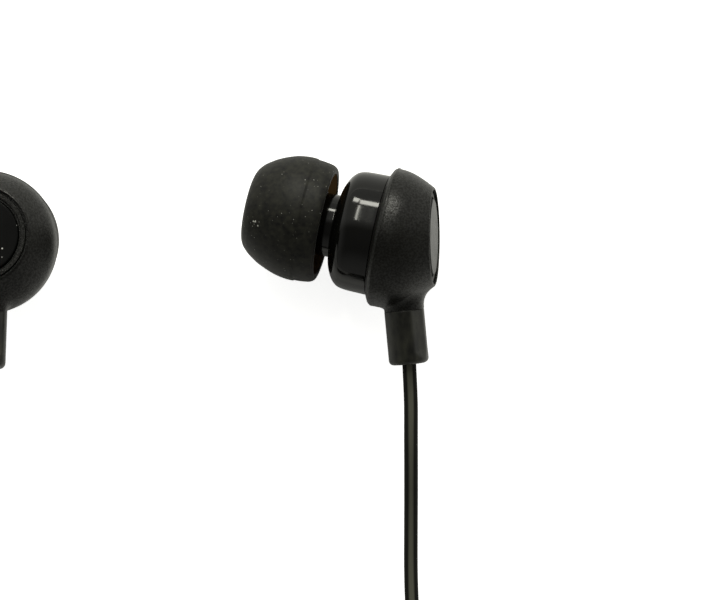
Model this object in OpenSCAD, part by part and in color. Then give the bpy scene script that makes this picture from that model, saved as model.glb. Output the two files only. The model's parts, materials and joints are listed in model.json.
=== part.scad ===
// Wired in-ear earphones: two earbuds, a Y cord put away in three coils, and a 3.5 mm plug.
// Millimetres. The origin is on the table, under the middle of the two earbuds, with +Z up.
// Each earbud is drawn in its own frame: z = 0 is the front of its housing, -Z is the way
// into the ear, +Z the way out through the cap, and -Y the side that the stem leaves from.

/* [Ear tip] */
// Largest radius of the soft tip
tip_r = 6.1; // [5.2:0.05:6.8]
// Length of the tip from its open rim to its nose
tip_length = 8; // [7.4:0.1:9.5]
// Wall of the tip's skirt
tip_wall = 0.5; // [0.35:0.05:0.8]
// Radius of the hole that the sound comes out of
tip_bore_r = 2.1; // [1.6:0.05:2.4]
// Wall of the sleeve that grips the nozzle
sleeve_wall = 0.55; // [0.4:0.05:0.8]
// How far the skirt's rim reaches past the sleeve, towards the housing
tip_cover = 0.45; // [0.2:0.05:0.9]

/* [Nozzle] */
// Outer radius of the nozzle tube
nozzle_r = 2.45; // [2.2:0.05:2.7]
// Wall of the nozzle tube
nozzle_wall = 0.7; // [0.5:0.05:0.85]
// Length of the nozzle past its collar
nozzle_length = 5.4; // [4.8:0.1:5.8]
// How far the barb stands out from the tube
barb_step = 0.3; // [0.15:0.05:0.4]
// Radius of the collar between housing and tip
collar_r = 3.15; // [2.95:0.05:3.6]
// Length of the collar
collar_length = 1.45; // [1.2:0.05:2]

/* [Housing] */
// Wall of the housing round the driver
housing_wall = 1.08; // [0.9:0.02:1.4]
// Length of the housing from its front to the seam
housing_length = 4.45; // [4.2:0.05:5]
// Length of the rounded shoulder
shoulder_length = 2.7; // [2:0.1:3.2]
// Thickness of the housing's front wall
front_wall = 0.78; // [0.6:0.02:0.9]
// Depth of the air chamber in front of the driver
chamber_depth = 0.45; // [0.3:0.05:0.55]
// Length of the spigot that the cap goes over
spigot_length = 1.3; // [0.9:0.1:1.6]
// Step from the housing's side down to the spigot
spigot_step = 0.23; // [0.15:0.01:0.35]

/* [Driver] */
// Outer radius of the driver
driver_r = 4.95; // [4.7:0.05:5.3]
// Radius of the yoke cup
yoke_r = 3.6; // [3.4:0.05:3.75]
// Wall and floor of the yoke cup
yoke_wall = 0.45; // [0.35:0.05:0.55]
// Height of the yoke cup
yoke_height = 2; // [1.8:0.05:2.2]
// Radius of the top plate
plate_r = 2.25; // [2.1:0.05:2.3]
// Thickness of the top plate
plate_thick = 0.5; // [0.4:0.05:0.7]
// Winding thickness of the voice coil
coil_wall = 0.3; // [0.2:0.02:0.36]
// Height of the voice coil
coil_height = 1.3; // [1:0.05:1.4]
// Travel of the diaphragm each way
diaphragm_travel = 0.12; // [0.05:0.01:0.15]

/* [Rear cap] */
// How far the cap's rim stands out past the housing
cap_overhang = 0.9; // [0.6:0.05:1.3]
// Tilt of the cap's outer face to the housing's axis
cap_tilt = 12; // [6:1:15]
// Distance from the middle of the rim to the middle of the outer face
cap_rise = 4.95; // [4.6:0.05:5.2]
// Radius of the lip round the outer face
lip_r = 4.85; // [4.7:0.05:5.3]
// Thickness of the wall under the disc
roof_thick = 0.6; // [0.45:0.05:0.7]
// Depth of the recess in the outer face
recess_depth = 0.5; // [0.35:0.05:0.6]
// Width of the groove between the lip and the raised ring
groove_w = 0.22; // [0.15:0.01:0.3]
// Width of the raised ring in the recess
ring_w = 0.45; // [0.3:0.05:0.5]

/* [Disc] */
// Radius of the glossy disc
badge_r = 3.78; // [3.4:0.02:3.8]
// Thickness of the glossy disc
badge_thick = 0.8; // [0.6:0.05:0.9]
// How far the disc's face lies below the lip
badge_sink = 0.05; // [0.05:0.05:0.3]

/* [Stem and strain relief] */
// Tilt of the stem to the plane of the housing's front
stem_tilt = 17; // [12:1:19]
// Where the stem's axis crosses the housing's axis, from the seam
stem_rise = 1.93; // [1.8:0.01:2.15]
// Distance from the housing's axis to the joint of stem and strain relief
stem_length = 7.07; // [6.9:0.01:8]
// Width of the stem and strain relief
stem_w = 4.8; // [4.2:0.1:5.2]
// Depth of the stem and strain relief
stem_depth = 3.9; // [3.4:0.05:4]
// Length of the strain relief outside the stem
relief_length = 5.4; // [4.5:0.1:8]
// Angle of the flats on the strain relief, from its outer side
flat_angle = 34; // [25:1:45]
// How far the flats cut in
flat_depth = 0.23; // [0.1:0.01:0.3]

/* [Cord] */
// Diameter of the two branch cords
branch_d = 1.4; // [1.2:0.05:1.5]
// Diameter of the main cord
main_d = 2; // [1.7:0.05:2.1]
// Clear space between neighbouring turns of a coil
turn_gap = 0.46; // [0.42:0.01:0.5]
// Radius of a branch coil's outermost turn
branch_coil_r = 10.9; // [10.5:0.1:11.2]
// Turns in a branch coil
branch_turns = 7.25; // [5.25:1:7.25]
// Radius of the main coil's outermost turn
main_coil_r = 14.4; // [14:0.1:15]
// Turns in the main coil
main_turns = 10.75; // [8.75:1:11.75]

/* [Ties] */
// Width of a tie's ribbon
tie_w = 3; // [2:0.1:3.2]
// Thickness of a tie's ribbon
tie_thick = 0.4; // [0.3:0.05:0.5]
// Length of a tie's twisted end
tie_tail = 8; // [5:0.5:10]

/* [Splitter] */
// Length of the Y splitter
splitter_length = 13; // [10:0.5:16]
// Width of the splitter where the two branches enter
splitter_w = 5.6; // [5:0.1:7]
// Thickness of the splitter
splitter_thick = 4; // [3.6:0.1:4.4]

/* [Plug] */
// Radius of the plug's grip
grip_r = 4; // [3.6:0.1:4.5]
// Length of the plug's grip
grip_length = 17; // [14:0.5:20]
// Length of the plug's strain relief
plug_relief_length = 8; // [6:0.5:12]
// Radius of the jack
jack_r = 1.75; // [1.75:0.01:1.76]
// Length of the jack from grip to nose
jack_length = 14; // [13.5:0.1:15]
// Length of the jack's ring contact
jack_ring_length = 2.2; // [1.8:0.1:2.6]
// Length of each insulator on the jack
insulator_length = 0.6; // [0.4:0.05:0.8]
// Length of the jack's tip contact
jack_tip_length = 4.7; // [4.2:0.1:5]
// How far the jack's sleeve runs back into the grip
jack_root = 5; // [3:0.5:8]

/* [Hidden] */
$fn = 64;
curve_steps = 7;
fit = 0.05;            // glued or pushed-together seats, on the radius
bore_fit = 0.02;       // cords and contacts in their bores, on the radius
stop_gap = 0.05;       // between the tip's sleeve and the collar it stops on
coil_rings = 24;       // rings in one turn of a coil
coil_sides = 6;
cord_sides = 8;
wire_r = 0.15;

// Levels and radii that follow from the sizes above, in an earbud's frame
pocket_r = driver_r + 0.07;
housing_r = pocket_r + housing_wall;
spigot_r = housing_r - spigot_step;
cap_r = housing_r + cap_overhang;
cap_bore_r = spigot_r + fit;
nozzle_bore_r = nozzle_r - nozzle_wall;
barb_r = nozzle_r + barb_step;
nozzle_z = -collar_length - nozzle_length;
seat_z = front_wall + chamber_depth;
gasket_thick = 0.22;
driver_z = seat_z + gasket_thick;
seam_z = housing_length;
spigot_z = seam_z + spigot_length;
rim_z = seam_z + 0.68;
stem_z = seam_z + stem_rise;
sleeve_z = -collar_length - stop_gap;
tip_rim_z = -collar_length + tip_cover;
tip_nose_z = tip_rim_z - tip_length;
mesh_r = nozzle_r - 0.45;
mesh_thick = 0.15;
mesh_z = nozzle_z + 0.2;

// Levels in the driver, from its front face
cover_thick = 0.2;
film_z = 0.8;
film_thick = 0.08;
shelf_z = 1.35;
shelf_thick = 0.5;
frame_end_z = shelf_z + shelf_thick + 0.55;
gap_top_z = 1.25;
yoke_end_z = shelf_z + yoke_height;
coil_r = plate_r + (yoke_r - yoke_wall - plate_r - coil_wall) / 2 - 0.1;
board_z = driver_z + yoke_end_z;
board_thick = 0.4;
pad_thick = 0.08;

// Distances along the stem's axis
relief_end = stem_length + relief_length;
flange_d = 4.5;
flange_thick = 0.7;
flange_r = 1.35;
neck_r = 1.05;
knot_d = flange_d - flange_thick - 0.1 - branch_d / 2;
stem_shift = (stem_w - stem_depth) / 2;
stem_r = stem_depth / 2;

// Curves and points
function bend(a, b, c) = [for (i = [0:curve_steps]) let (t = i / curve_steps)
    (1 - t) * (1 - t) * a + 2 * t * (1 - t) * b + t * t * c];
function turn_x(v, a) = [v.x, v.y * cos(a) - v.z * sin(a), v.y * sin(a) + v.z * cos(a)];
function turn_y(v, a) = [v.x * cos(a) + v.z * sin(a), v.y, v.z * cos(a) - v.x * sin(a)];
function turn_z(v, a) = [v.x * cos(a) - v.y * sin(a), v.x * sin(a) + v.y * cos(a), v.z];
function unit(v) = v / norm(v);

// Outer outline of the ear tip, [radius, z], from its open rim to its nose
tip_skirt = bend([tip_r - 0.4, tip_rim_z],
                 [tip_r + 0.31, tip_rim_z - 0.26 * tip_length],
                 [tip_r - 0.22, tip_rim_z - 0.505 * tip_length]);
tip_dome = bend([tip_r - 0.22, tip_rim_z - 0.505 * tip_length],
                [tip_r - 0.81, tip_rim_z - 0.775 * tip_length],
                [tip_bore_r + 2.1, tip_rim_z - 0.897 * tip_length]);
tip_nose = [[tip_bore_r + 1.3, tip_nose_z + 0.12], [tip_bore_r + 1, tip_nose_z]];
tip_outline = concat(tip_skirt, tip_dome, tip_nose);
cap_edge = [[cap_r - 0.7, seam_z + fit], [cap_r - 0.15, rim_z - 0.3], [cap_r, rim_z - 0.05]];

// How the earbuds lie. The right one lies on its cap's rim and on its tip, and the left one
// stands on the nose of its tip and leans on its cord.
right_heading = 12;
right_roll = 4;
right_pitch = asin((cap_r - tip_r) / (rim_z - tip_rim_z + 0.25 * tip_length));
left_lean_back = 4.5;
left_lean_side = 4.2;
left_spin = 0;
left_upright = turn_y(turn_x([0, 0, 1], left_lean_back), -left_lean_side).z;
// Height of a turned body's origin, when the lowest point of its outline touches the table
function rest_height(outline, upright) =
    max([for (p = outline) p.x * sqrt(1 - upright * upright) - p.y * upright]);
right_at = [15.5, 3.85, rest_height(concat(tip_outline, cap_edge), sin(right_pitch))];
left_at = [-18.34, 2.6, rest_height(tip_outline, left_upright)];
function right_turn(v) =
    turn_z(turn_y(turn_z(v, right_roll), 90 - right_pitch), -right_heading);
function left_turn(v) = turn_z(turn_y(turn_x(v, left_lean_back), -left_lean_side), left_spin);
function on_stem(d) = [0, 0, stem_z] + d * turn_x([0, 0, 1], 90 - stem_tilt);
right_exit = right_at + right_turn(on_stem(relief_end));
left_exit = left_at + left_turn(on_stem(relief_end));
right_exit_way = right_turn(on_stem(1) - on_stem(0));
left_exit_way = left_turn(on_stem(1) - on_stem(0));

// The cord's routes on the table. Each branch droops from its earbud to its coil.
right_route = [[23.05, -13.7, 6.3], [23.1, -17.2, 5.6], [23.15, -20.6, 4.6], [23.15, -23.9, 3.5],
    [23.15, -27.3, 2.5], [23.15, -30.7, 1.7], [23.2, -34.2, 1.2], [23.5, -38, 1.1],
    [24.2, -42.2, 1.1], [24.9, -46.6, 1.2]];
left_route = [[-19.1, -13.5, 19.2], [-19.2, -17, 19.3], [-19.3, -20.4, 18.6],
    [-19.6, -23.6, 17.1], [-20, -26.5, 15], [-20.7, -29.2, 12.5], [-21.4, -31.7, 9.9],
    [-22.1, -34.2, 7.4], [-22.8, -36.9, 5.1], [-23.6, -39.8, 3.2], [-24.4, -43, 1.8],
    [-24.9, -46.6, 1.2]];
// From a branch coil to the splitter, on the right. The left one is its mirror image.
branch_route = [[12.6, -58.9, 3.05], [9.2, -59.2, 2.6], [6.1, -60.5, 1.9], [3.7, -62.8, 1.3],
    [2.1, -65.8, 1.1], [1.3, -69.2, 1.3], [1.1, -72.6, 1.8], [1.1, -75, 2]];
main_lead_route = [[0.3, -92, 1.4], [1.2, -95.8, 1.1], [2.7, -99.4, 1.1], [4, -103, 1.3],
    [4.4, -107, 1.5]];
main_tail_route = [[-8, -94.6, 8.85], [-4.5, -94, 8.7], [-1, -92.6, 8.3], [2.2, -90.7, 7.6],
    [5.6, -89, 6.8], [9.2, -88.3, 5.9], [12.3, -89.3, 5], [14.4, -92, 4.3], [15.1, -95.5, 4]];
branch_coil_at = [14, -48];
main_coil_at = [-10, -109];
coil_lift = 0.5;       // room for the tie under a coil
splitter_at = [0, branch_route[len(branch_route) - 1].y, splitter_thick / 2];
plug_at = main_tail_route[len(main_tail_route) - 1];

// Points of a coil that winds clockwise from angle 0. It spirals in and out again at a steady
// rate in so many layers, and climbs a layer in the half turn where the spiral reverses.
function coil_layer(t, turns, layers) = let (span = turns / layers)
    max([0, for (k = [1:layers - 1]) t > k * span - 0.25 ?
        k - 1 + min(1, 2 * (t - k * span + 0.25)) : 0]);
function coil_reach(t, span) = let (k = floor(t / span), part = t - k * span)
    k % 2 == 0 ? part : span - part;
function coil_point(t, r, d, turns, layers) =
    let (step = d + turn_gap, reach = r - step * coil_reach(t, turns / layers))
    [reach * cos(-360 * t), reach * sin(-360 * t),
        coil_lift + d / 2 + step * coil_layer(t, turns, layers)];
function coil_points(r, d, turns, layers) =
    let (count = floor(turns * coil_rings + 0.5),
        body = [for (i = [0:count]) coil_point(i / coil_rings, r, d, turns, layers)],
        last = body[count],
        way = [sin(-360 * turns), -cos(-360 * turns), 0])
    concat([body[0] + [0, d, 0]], body, [last + d * way]);
branch_coil_points = coil_points(branch_coil_r, branch_d, branch_turns, 2);
main_coil_points = coil_points(main_coil_r, main_d, main_turns, 4);
// Least gap of a coil to itself, between points over half a turn apart
function least_gap(points, d) = min([for (i = [0:len(points) - 1])
    for (j = [i + coil_rings / 2 : 1 : len(points) - 1]) norm(points[i] - points[j])]) - d;
echo(branch_coil_gap = least_gap(branch_coil_points, branch_d));
echo(main_coil_gap = least_gap(main_coil_points, main_d));
echo(right_exit = right_exit, left_exit = left_exit);
echo(right_exit_way = right_exit_way, left_exit_way = left_exit_way);
echo(right_tip_way = right_turn([0, 0, -1]), left_tip_way = left_turn([0, 0, -1]));
echo(right_nose = right_at + right_turn([0, 0, tip_nose_z]),
    left_nose = left_at + left_turn([0, 0, tip_nose_z]));
echo(right_at = right_at, left_at = left_at, right_pitch = right_pitch);
echo(plug_at = plug_at, jack_length = jack_length, sleeve_length = sleeve_length);

// A tube along points: one ring at each, square to the way there. Its end rings face the ways
// given, and up is a direction that the path never takes.
function path_way(p, i, first, last) = i == 0 ? unit(first) :
    i == len(p) - 1 ? unit(last) : unit(p[i + 1] - p[i - 1]);
module tube(points, r, sides, first, last, up = [0, 0, 1]) {
    count = len(points);
    rings = [for (i = [0:count - 1])
        let (way = path_way(points, i, first, last),
            side = unit(cross(way, up)),
            top = cross(side, way))
        for (k = [0:sides - 1])
            points[i] + r * (cos(360 * k / sides) * side + sin(360 * k / sides) * top)];
    walls = [for (i = [0:count - 2]) for (k = [0:sides - 1])
        let (a = i * sides + k, b = i * sides + (k + 1) % sides)
        each [[a, b, b + sides], [a, b + sides, a + sides]]];
    lids = [for (k = [1:sides - 2])
        each [[0, k + 1, k],
            [(count - 1) * sides, (count - 1) * sides + k, (count - 1) * sides + k + 1]]];
    polyhedron(rings, concat(walls, lids), convexity = 12);
}

// A closed body with a stadium section: an outline [radius, z] turned at both ends of a slot
module slot_body(outline, shift) {
    for (s = [-1, 1]) translate([s * shift, 0, 0]) rotate_extrude() polygon(outline);
    rotate([90, 0, 90]) translate([0, 0, -shift]) linear_extrude(2 * shift)
        polygon(concat(outline, [for (i = [len(outline) - 1:-1:0]) [-outline[i].x, outline[i].y]]));
}
module disc(r, thick) { cylinder(h = thick, r = r); }
module washer(r_out, r_in, thick) {
    difference() {
        cylinder(h = thick, r = r_out);
        translate([0, 0, -1]) cylinder(h = thick + 2, r = r_in);
    }
}
module on_right() {
    translate(right_at) rotate([0, 0, -right_heading]) rotate([0, 90 - right_pitch, 0])
        rotate([0, 0, right_roll]) children();
}
module on_left() {
    translate(left_at) rotate([left_lean_back, -left_lean_side, left_spin]) children();
}
module on_stem_axis() { translate([0, 0, stem_z]) rotate([90 - stem_tilt, 0, 0]) children(); }
module on_cap_axis() { translate([0, 0, rim_z]) rotate([-cap_tilt, 0, 0]) children(); }
module in_driver(z) { translate([0, 0, driver_z + z]) children(); }

// Earbud pieces, in the earbud's frame
module ear_tip() {
    inner_skirt = [for (p = tip_skirt) p - [tip_wall, 0]];
    apex = [barb_r + fit + sleeve_wall, tip_rim_z - 0.66 * tip_length];
    inner_dome = bend(inner_skirt[curve_steps],
                      [tip_r - 0.81 - tip_wall, tip_rim_z - 0.66 * tip_length], apex);
    color([0.13, 0.13, 0.12]) rotate_extrude() polygon(concat(
        tip_outline,
        [[tip_bore_r + 0.15, tip_nose_z], [tip_bore_r, tip_nose_z + 0.15],
         [tip_bore_r, nozzle_z - 0.15], [barb_r + fit, nozzle_z - 0.15],
         [barb_r + fit, sleeve_z], [barb_r + fit + sleeve_wall, sleeve_z]],
        [for (i = [curve_steps:-1:0]) inner_dome[i]],
        [for (i = [curve_steps - 1:-1:0]) inner_skirt[i]]));
}
module front_housing() {
    shoulder = bend([collar_r, 0.15], [housing_r - 0.3, 0.15], [housing_r, shoulder_length]);
    color([0.05, 0.05, 0.05]) rotate_extrude() polygon(concat(
        [[mesh_r + fit, nozzle_z], [nozzle_r - 0.1, nozzle_z], [barb_r, nozzle_z + 0.5],
         [barb_r, nozzle_z + 0.9], [nozzle_r, nozzle_z + 1], [nozzle_r, -collar_length],
         [collar_r, -collar_length]],
        shoulder,
        [[housing_r + 0.08, seam_z], [spigot_r, seam_z], [spigot_r, spigot_z],
         [pocket_r, spigot_z], [pocket_r, seat_z], [pocket_r - 0.6, seat_z],
         [pocket_r - 0.6, front_wall], [nozzle_bore_r + 0.4, front_wall],
         [nozzle_bore_r, front_wall - 0.4], [nozzle_bore_r, mesh_z + mesh_thick],
         [mesh_r + fit, mesh_z + mesh_thick]]));
}
module nozzle_mesh() {
    pitch = 0.42;
    color([0.55, 0.55, 0.54]) translate([0, 0, mesh_z]) difference() {
        disc(mesh_r, mesh_thick);
        for (i = [-4:4]) for (j = [-4:4]) {
            x = pitch * (i + j / 2);
            y = pitch * j * sqrt(3) / 2;
            if (norm([x, y]) < mesh_r - 0.3) translate([x, y, -0.5])
                cylinder(h = 1, r = 0.15, $fn = 6);
        }
    }
}
module nozzle_damper() {
    color([0.85, 0.84, 0.8]) translate([0, 0, -collar_length - nozzle_length * 0.55])
        disc(nozzle_bore_r - bore_fit, 1.2);
}
module driver_gasket() {
    color([0.2, 0.2, 0.2]) translate([0, 0, seat_z])
        washer(driver_r, pocket_r - 0.6, gasket_thick);
}
module driver_cover() {
    color([0.6, 0.6, 0.6]) in_driver(0) difference() {
        disc(driver_r - 0.25, cover_thick);
        translate([0, 0, -0.5]) cylinder(h = 1, r = 0.35, $fn = 12);
        for (ring = [1, 2]) for (i = [1:6 * ring]) rotate([0, 0, 60 * i / ring])
            translate([1.55 * ring, 0, -0.5]) cylinder(h = 1, r = 0.35, $fn = 12);
    }
}
module driver_frame() {
    color([0.12, 0.12, 0.13]) in_driver(0) difference() {
        rotate_extrude() polygon([[driver_r - 0.23, 0], [driver_r, 0], [driver_r, frame_end_z],
            [driver_r - 0.45, frame_end_z], [driver_r - 0.45, shelf_z + shelf_thick],
            [yoke_r + fit, shelf_z + shelf_thick], [yoke_r + fit, shelf_z],
            [driver_r - 0.45, shelf_z], [driver_r - 0.45, cover_thick],
            [driver_r - 0.23, cover_thick]]);
        for (i = [1:6]) rotate([0, 0, 60 * i])
            translate([(driver_r - 0.4 + yoke_r) / 2, 0, shelf_z - 0.5]) cylinder(h = 2, r = 0.25);
    }
}
module diaphragm() {
    seat_r = coil_r + coil_wall / 2;
    edge_r = driver_r - 0.65;
    top = concat([[0, film_z - 0.35]],
        bend([seat_r * 0.35, film_z - 0.33], [seat_r * 0.8, film_z - 0.25], [seat_r - 0.15, film_z]),
        [[seat_r + 0.15, film_z]],
        bend([seat_r + 0.15, film_z], [(seat_r + edge_r) / 2, film_z - 0.45], [edge_r - 0.3, film_z]),
        [[edge_r, film_z]]);
    color([0.75, 0.72, 0.62]) in_driver(0) rotate_extrude() polygon(concat(
        top, [for (i = [len(top) - 1:-1:0]) top[i] + [0, film_thick]]));
}
module voice_coil() {
    color([0.72, 0.4, 0.2]) in_driver(film_z + film_thick)
        washer(coil_r + coil_wall, coil_r, coil_height);
}
module top_plate() { color([0.7, 0.7, 0.72]) in_driver(gap_top_z) disc(plate_r, plate_thick); }
module magnet() {
    color([0.8, 0.8, 0.82]) in_driver(gap_top_z + plate_thick)
        disc(plate_r - 0.1, yoke_end_z - yoke_wall - gap_top_z - plate_thick);
}
module yoke() {
    color([0.62, 0.62, 0.64]) in_driver(shelf_z) difference() {
        disc(yoke_r, yoke_height);
        translate([0, 0, -1]) cylinder(h = yoke_height + 1 - yoke_wall, r = yoke_r - yoke_wall);
    }
}
module damping_ring() {
    color([0.9, 0.89, 0.84]) in_driver(shelf_z + shelf_thick)
        washer(driver_r - 0.5, yoke_r + 0.1, 0.12);
}
module terminal_board() {
    color([0.1, 0.35, 0.2]) translate([0, 0.2, board_z]) {
        translate([-1.6, -1, 0]) cube([3.2, 2, board_thick]);
        for (s = [-1, 1]) translate([s * 0.8, 0, board_thick - 0.05])
            cylinder(h = pad_thick + 0.05, r = 0.35);
    }
}
module lead_wires() {
    start_z = board_z + board_thick + pad_thick;
    end = on_stem(knot_d - branch_d / 2 - 0.05);
    way = on_stem(1) - on_stem(0);
    color([0.75, 0.2, 0.12]) for (s = [-1, 1])
        tube([[s * 0.8, 0.2, start_z], [s * 0.8, 0.2, start_z + 0.5],
              [s * 0.75, 0, start_z + 0.9], [s * 0.6, -0.6, start_z + 1.3],
              [s * 0.4, end.y + 0.7, end.z - 0.22], [s * 0.3, end.y, end.z]],
             wire_r, coil_sides, [0, 0, 1], way, [1, 0, 0]);
}
module cord_end() {
    color([0.1, 0.1, 0.1]) on_stem_axis() {
        translate([0, 0, knot_d - branch_d / 2])
            cylinder(h = relief_end - knot_d + branch_d / 2, r = branch_d / 2);
        translate([0, 0, knot_d]) rotate_extrude() translate([branch_d * 0.54, 0])
            circle(r = branch_d / 2);
    }
}
module cap_outside() {
    dome = bend([lip_r + 0.25, cap_rise - 0.25], [cap_r - 0.5, cap_rise - 2],
                [cap_r, cap_rise - 3.55]);
    intersection() {
        rotate_extrude() polygon(concat([[0, seam_z + fit]], cap_edge,
            [[cap_r, rim_z + 2 * cap_rise], [0, rim_z + 2 * cap_rise]]));
        on_cap_axis() rotate_extrude() polygon(concat(
            [[0, cap_rise], [lip_r - 0.1, cap_rise], [lip_r + 0.13, cap_rise - 0.08]], dome,
            [[cap_r + 1.5, cap_rise - 8.2], [0, cap_rise - 8.2]]));
    }
    on_stem_axis() slot_body(concat([[0, 3.5], [stem_r + 0.9, 3.5]],
        bend([stem_r + 0.9, 4.7], [stem_r, stem_length - 1.3], [stem_r, stem_length - 0.4]),
        [[stem_r, stem_length], [0, stem_length]]), stem_shift);
}
module cap_inside() {
    roof_v = cap_rise - badge_sink - badge_thick - roof_thick;
    translate([0, 0, seam_z - 1]) cylinder(h = spigot_length + 1.05, r = cap_bore_r);
    intersection() {
        translate([0, 0, seam_z]) cylinder(h = 2 * cap_rise, r = cap_bore_r);
        on_cap_axis() rotate_extrude() polygon([[0, roof_v], [lip_r - 0.1, roof_v],
            [cap_r - 1.6, cap_rise - 2.4], [cap_r - 1.1, cap_rise - 3.8],
            [cap_r + 1, cap_rise - 8.2], [0, cap_rise - 8.2]]);
    }
}
module rear_cap() {
    pocket = badge_sink + badge_thick;
    ring_r = lip_r - 0.13 - groove_w;
    color([0.12, 0.12, 0.12]) difference() {
        union() {
            difference() {
                cap_outside();
                cap_inside();
            }
            on_stem_axis() translate([0, 0, flange_d + fit]) cylinder(h = 1.6, r = neck_r + 0.5);
        }
        on_stem_axis() cylinder(h = stem_length + 1, r = neck_r + fit);
        on_cap_axis() {
            translate([0, 0, cap_rise - recess_depth]) washer(lip_r - 0.13, ring_r, 3);
            translate([0, 0, cap_rise - badge_sink - 0.1]) cylinder(h = 3, r = ring_r + 0.01);
            translate([0, 0, cap_rise - recess_depth]) cylinder(h = 3, r = ring_r - ring_w);
            translate([0, 0, cap_rise - pocket]) cylinder(h = 3, r = badge_r + fit);
        }
    }
}
module badge_disc() {
    color([0.08, 0.08, 0.09]) on_cap_axis() translate([0, 0, cap_rise - badge_sink - badge_thick])
        rotate_extrude() polygon([[0, 0], [badge_r, 0], [badge_r, badge_thick - 0.08],
            [badge_r - 0.08, badge_thick], [0, badge_thick]]);
}
module strain_relief() {
    flat_at = stem_shift * sin(flat_angle) + stem_r - flat_depth;
    color([0.14, 0.14, 0.13]) on_stem_axis() difference() {
        union() {
            slot_body(concat([[0, stem_length], [stem_r, stem_length]],
                bend([stem_r, relief_end - 0.5], [stem_r, relief_end], [stem_r - 0.5, relief_end]),
                [[0, relief_end]]), stem_shift);
            translate([0, 0, flange_d - flange_thick])
                cylinder(h = stem_length - flange_d + flange_thick + 0.5, r = neck_r);
            translate([0, 0, flange_d - flange_thick]) cylinder(h = flange_thick, r = flange_r);
        }
        cylinder(h = relief_end + 1, r = branch_d / 2 + bore_fit);
        for (s = [-1, 1]) rotate([0, 0, -s * flat_angle])
            translate([-4, flat_at, stem_length - 0.01]) cube([8, 4, relief_length - 0.6]);
    }
}

// The same pieces on each side
module right_ear_tip() { on_right() ear_tip(); }
module right_front_housing() { on_right() front_housing(); }
module right_nozzle_mesh() { on_right() nozzle_mesh(); }
module right_nozzle_damper() { on_right() nozzle_damper(); }
module right_driver_gasket() { on_right() driver_gasket(); }
module right_driver_cover() { on_right() driver_cover(); }
module right_driver_frame() { on_right() driver_frame(); }
module right_diaphragm() { on_right() diaphragm(); }
module right_voice_coil() { on_right() voice_coil(); }
module right_top_plate() { on_right() top_plate(); }
module right_magnet() { on_right() magnet(); }
module right_yoke() { on_right() yoke(); }
module right_damping_ring() { on_right() damping_ring(); }
module right_terminal_board() { on_right() terminal_board(); }
module right_lead_wires() { on_right() lead_wires(); }
module right_cord_end() { on_right() cord_end(); }
module right_rear_cap() { on_right() rear_cap(); }
module right_badge_disc() { on_right() badge_disc(); }
module right_strain_relief() { on_right() strain_relief(); }
module left_ear_tip() { on_left() ear_tip(); }
module left_front_housing() { on_left() front_housing(); }
module left_nozzle_mesh() { on_left() nozzle_mesh(); }
module left_nozzle_damper() { on_left() nozzle_damper(); }
module left_driver_gasket() { on_left() driver_gasket(); }
module left_driver_cover() { on_left() driver_cover(); }
module left_driver_frame() { on_left() driver_frame(); }
module left_diaphragm() { on_left() diaphragm(); }
module left_voice_coil() { on_left() voice_coil(); }
module left_top_plate() { on_left() top_plate(); }
module left_magnet() { on_left() magnet(); }
module left_yoke() { on_left() yoke(); }
module left_damping_ring() { on_left() damping_ring(); }
module left_terminal_board() { on_left() terminal_board(); }
module left_lead_wires() { on_left() lead_wires(); }
module left_cord_end() { on_left() cord_end(); }
module left_rear_cap() { on_left() rear_cap(); }
module left_badge_disc() { on_left() badge_disc(); }
module left_strain_relief() { on_left() strain_relief(); }

// Cords, coils and ties
module on_coil(at) { translate([at.x, at.y, 0]) children(); }
module branch_coil() {
    count = len(branch_coil_points);
    color([0.1, 0.1, 0.1]) on_coil(branch_coil_at)
        tube(branch_coil_points, branch_d / 2, coil_sides, [0, -1, 0],
            branch_coil_points[count - 1] - branch_coil_points[count - 2]);
}
module branch_tail() {
    color([0.1, 0.1, 0.1])
        tube(branch_route, branch_d / 2, cord_sides, [-1, 0, 0], [0, -1, 0]);
}
module tie(r_in, r_out, height) {
    hole = [r_out - r_in, height - coil_lift + 0.2];
    color([0.07, 0.07, 0.07]) {
        translate([(r_out + r_in) / 2, tie_w / 2, coil_lift - 0.1 + hole.y / 2]) rotate([90, 0, 0])
            linear_extrude(tie_w) difference() {
                offset(r = 0.8, $fn = 16) square(hole + 2 * (tie_thick - 0.8) * [1, 1], true);
                offset(r = 0.4, $fn = 16) square(hole - [0.8, 0.8], true);
            }
        translate([(r_out + r_in) / 2, 0, coil_lift - 0.1 + hole.y + tie_w / 2]) {
            cube([1.4, tie_w, tie_w], true);
            rotate([0, 90, 0]) linear_extrude(tie_tail, twist = 540, slices = 14, segments = 4)
                square([tie_w - 0.4, 1], true);
        }
    }
}
module branch_tie() {
    step = branch_d + turn_gap;
    inner = branch_coil_r - step * branch_turns / 2 - branch_d / 2 - 0.1;
    on_coil(branch_coil_at) rotate([0, 0, 150])
        tie(sqrt(inner * inner - tie_w * tie_w / 4), branch_coil_r + branch_d / 2 + 0.1,
            coil_lift + branch_d + step);
}
module right_cord() {
    color([0.1, 0.1, 0.1]) tube(concat([right_exit], right_route), branch_d / 2, cord_sides,
        right_exit_way, [0, -1, 0]);
}
module left_cord() {
    color([0.1, 0.1, 0.1]) tube(concat([left_exit], left_route), branch_d / 2, cord_sides,
        left_exit_way, [0, -1, 0]);
}
module right_cord_coil() { branch_coil(); }
module left_cord_coil() { mirror([1, 0, 0]) branch_coil(); }
module right_cord_tail() { branch_tail(); }
module left_cord_tail() { mirror([1, 0, 0]) branch_tail(); }
module right_tie() { branch_tie(); }
module left_tie() { mirror([1, 0, 0]) branch_tie(); }
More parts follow.
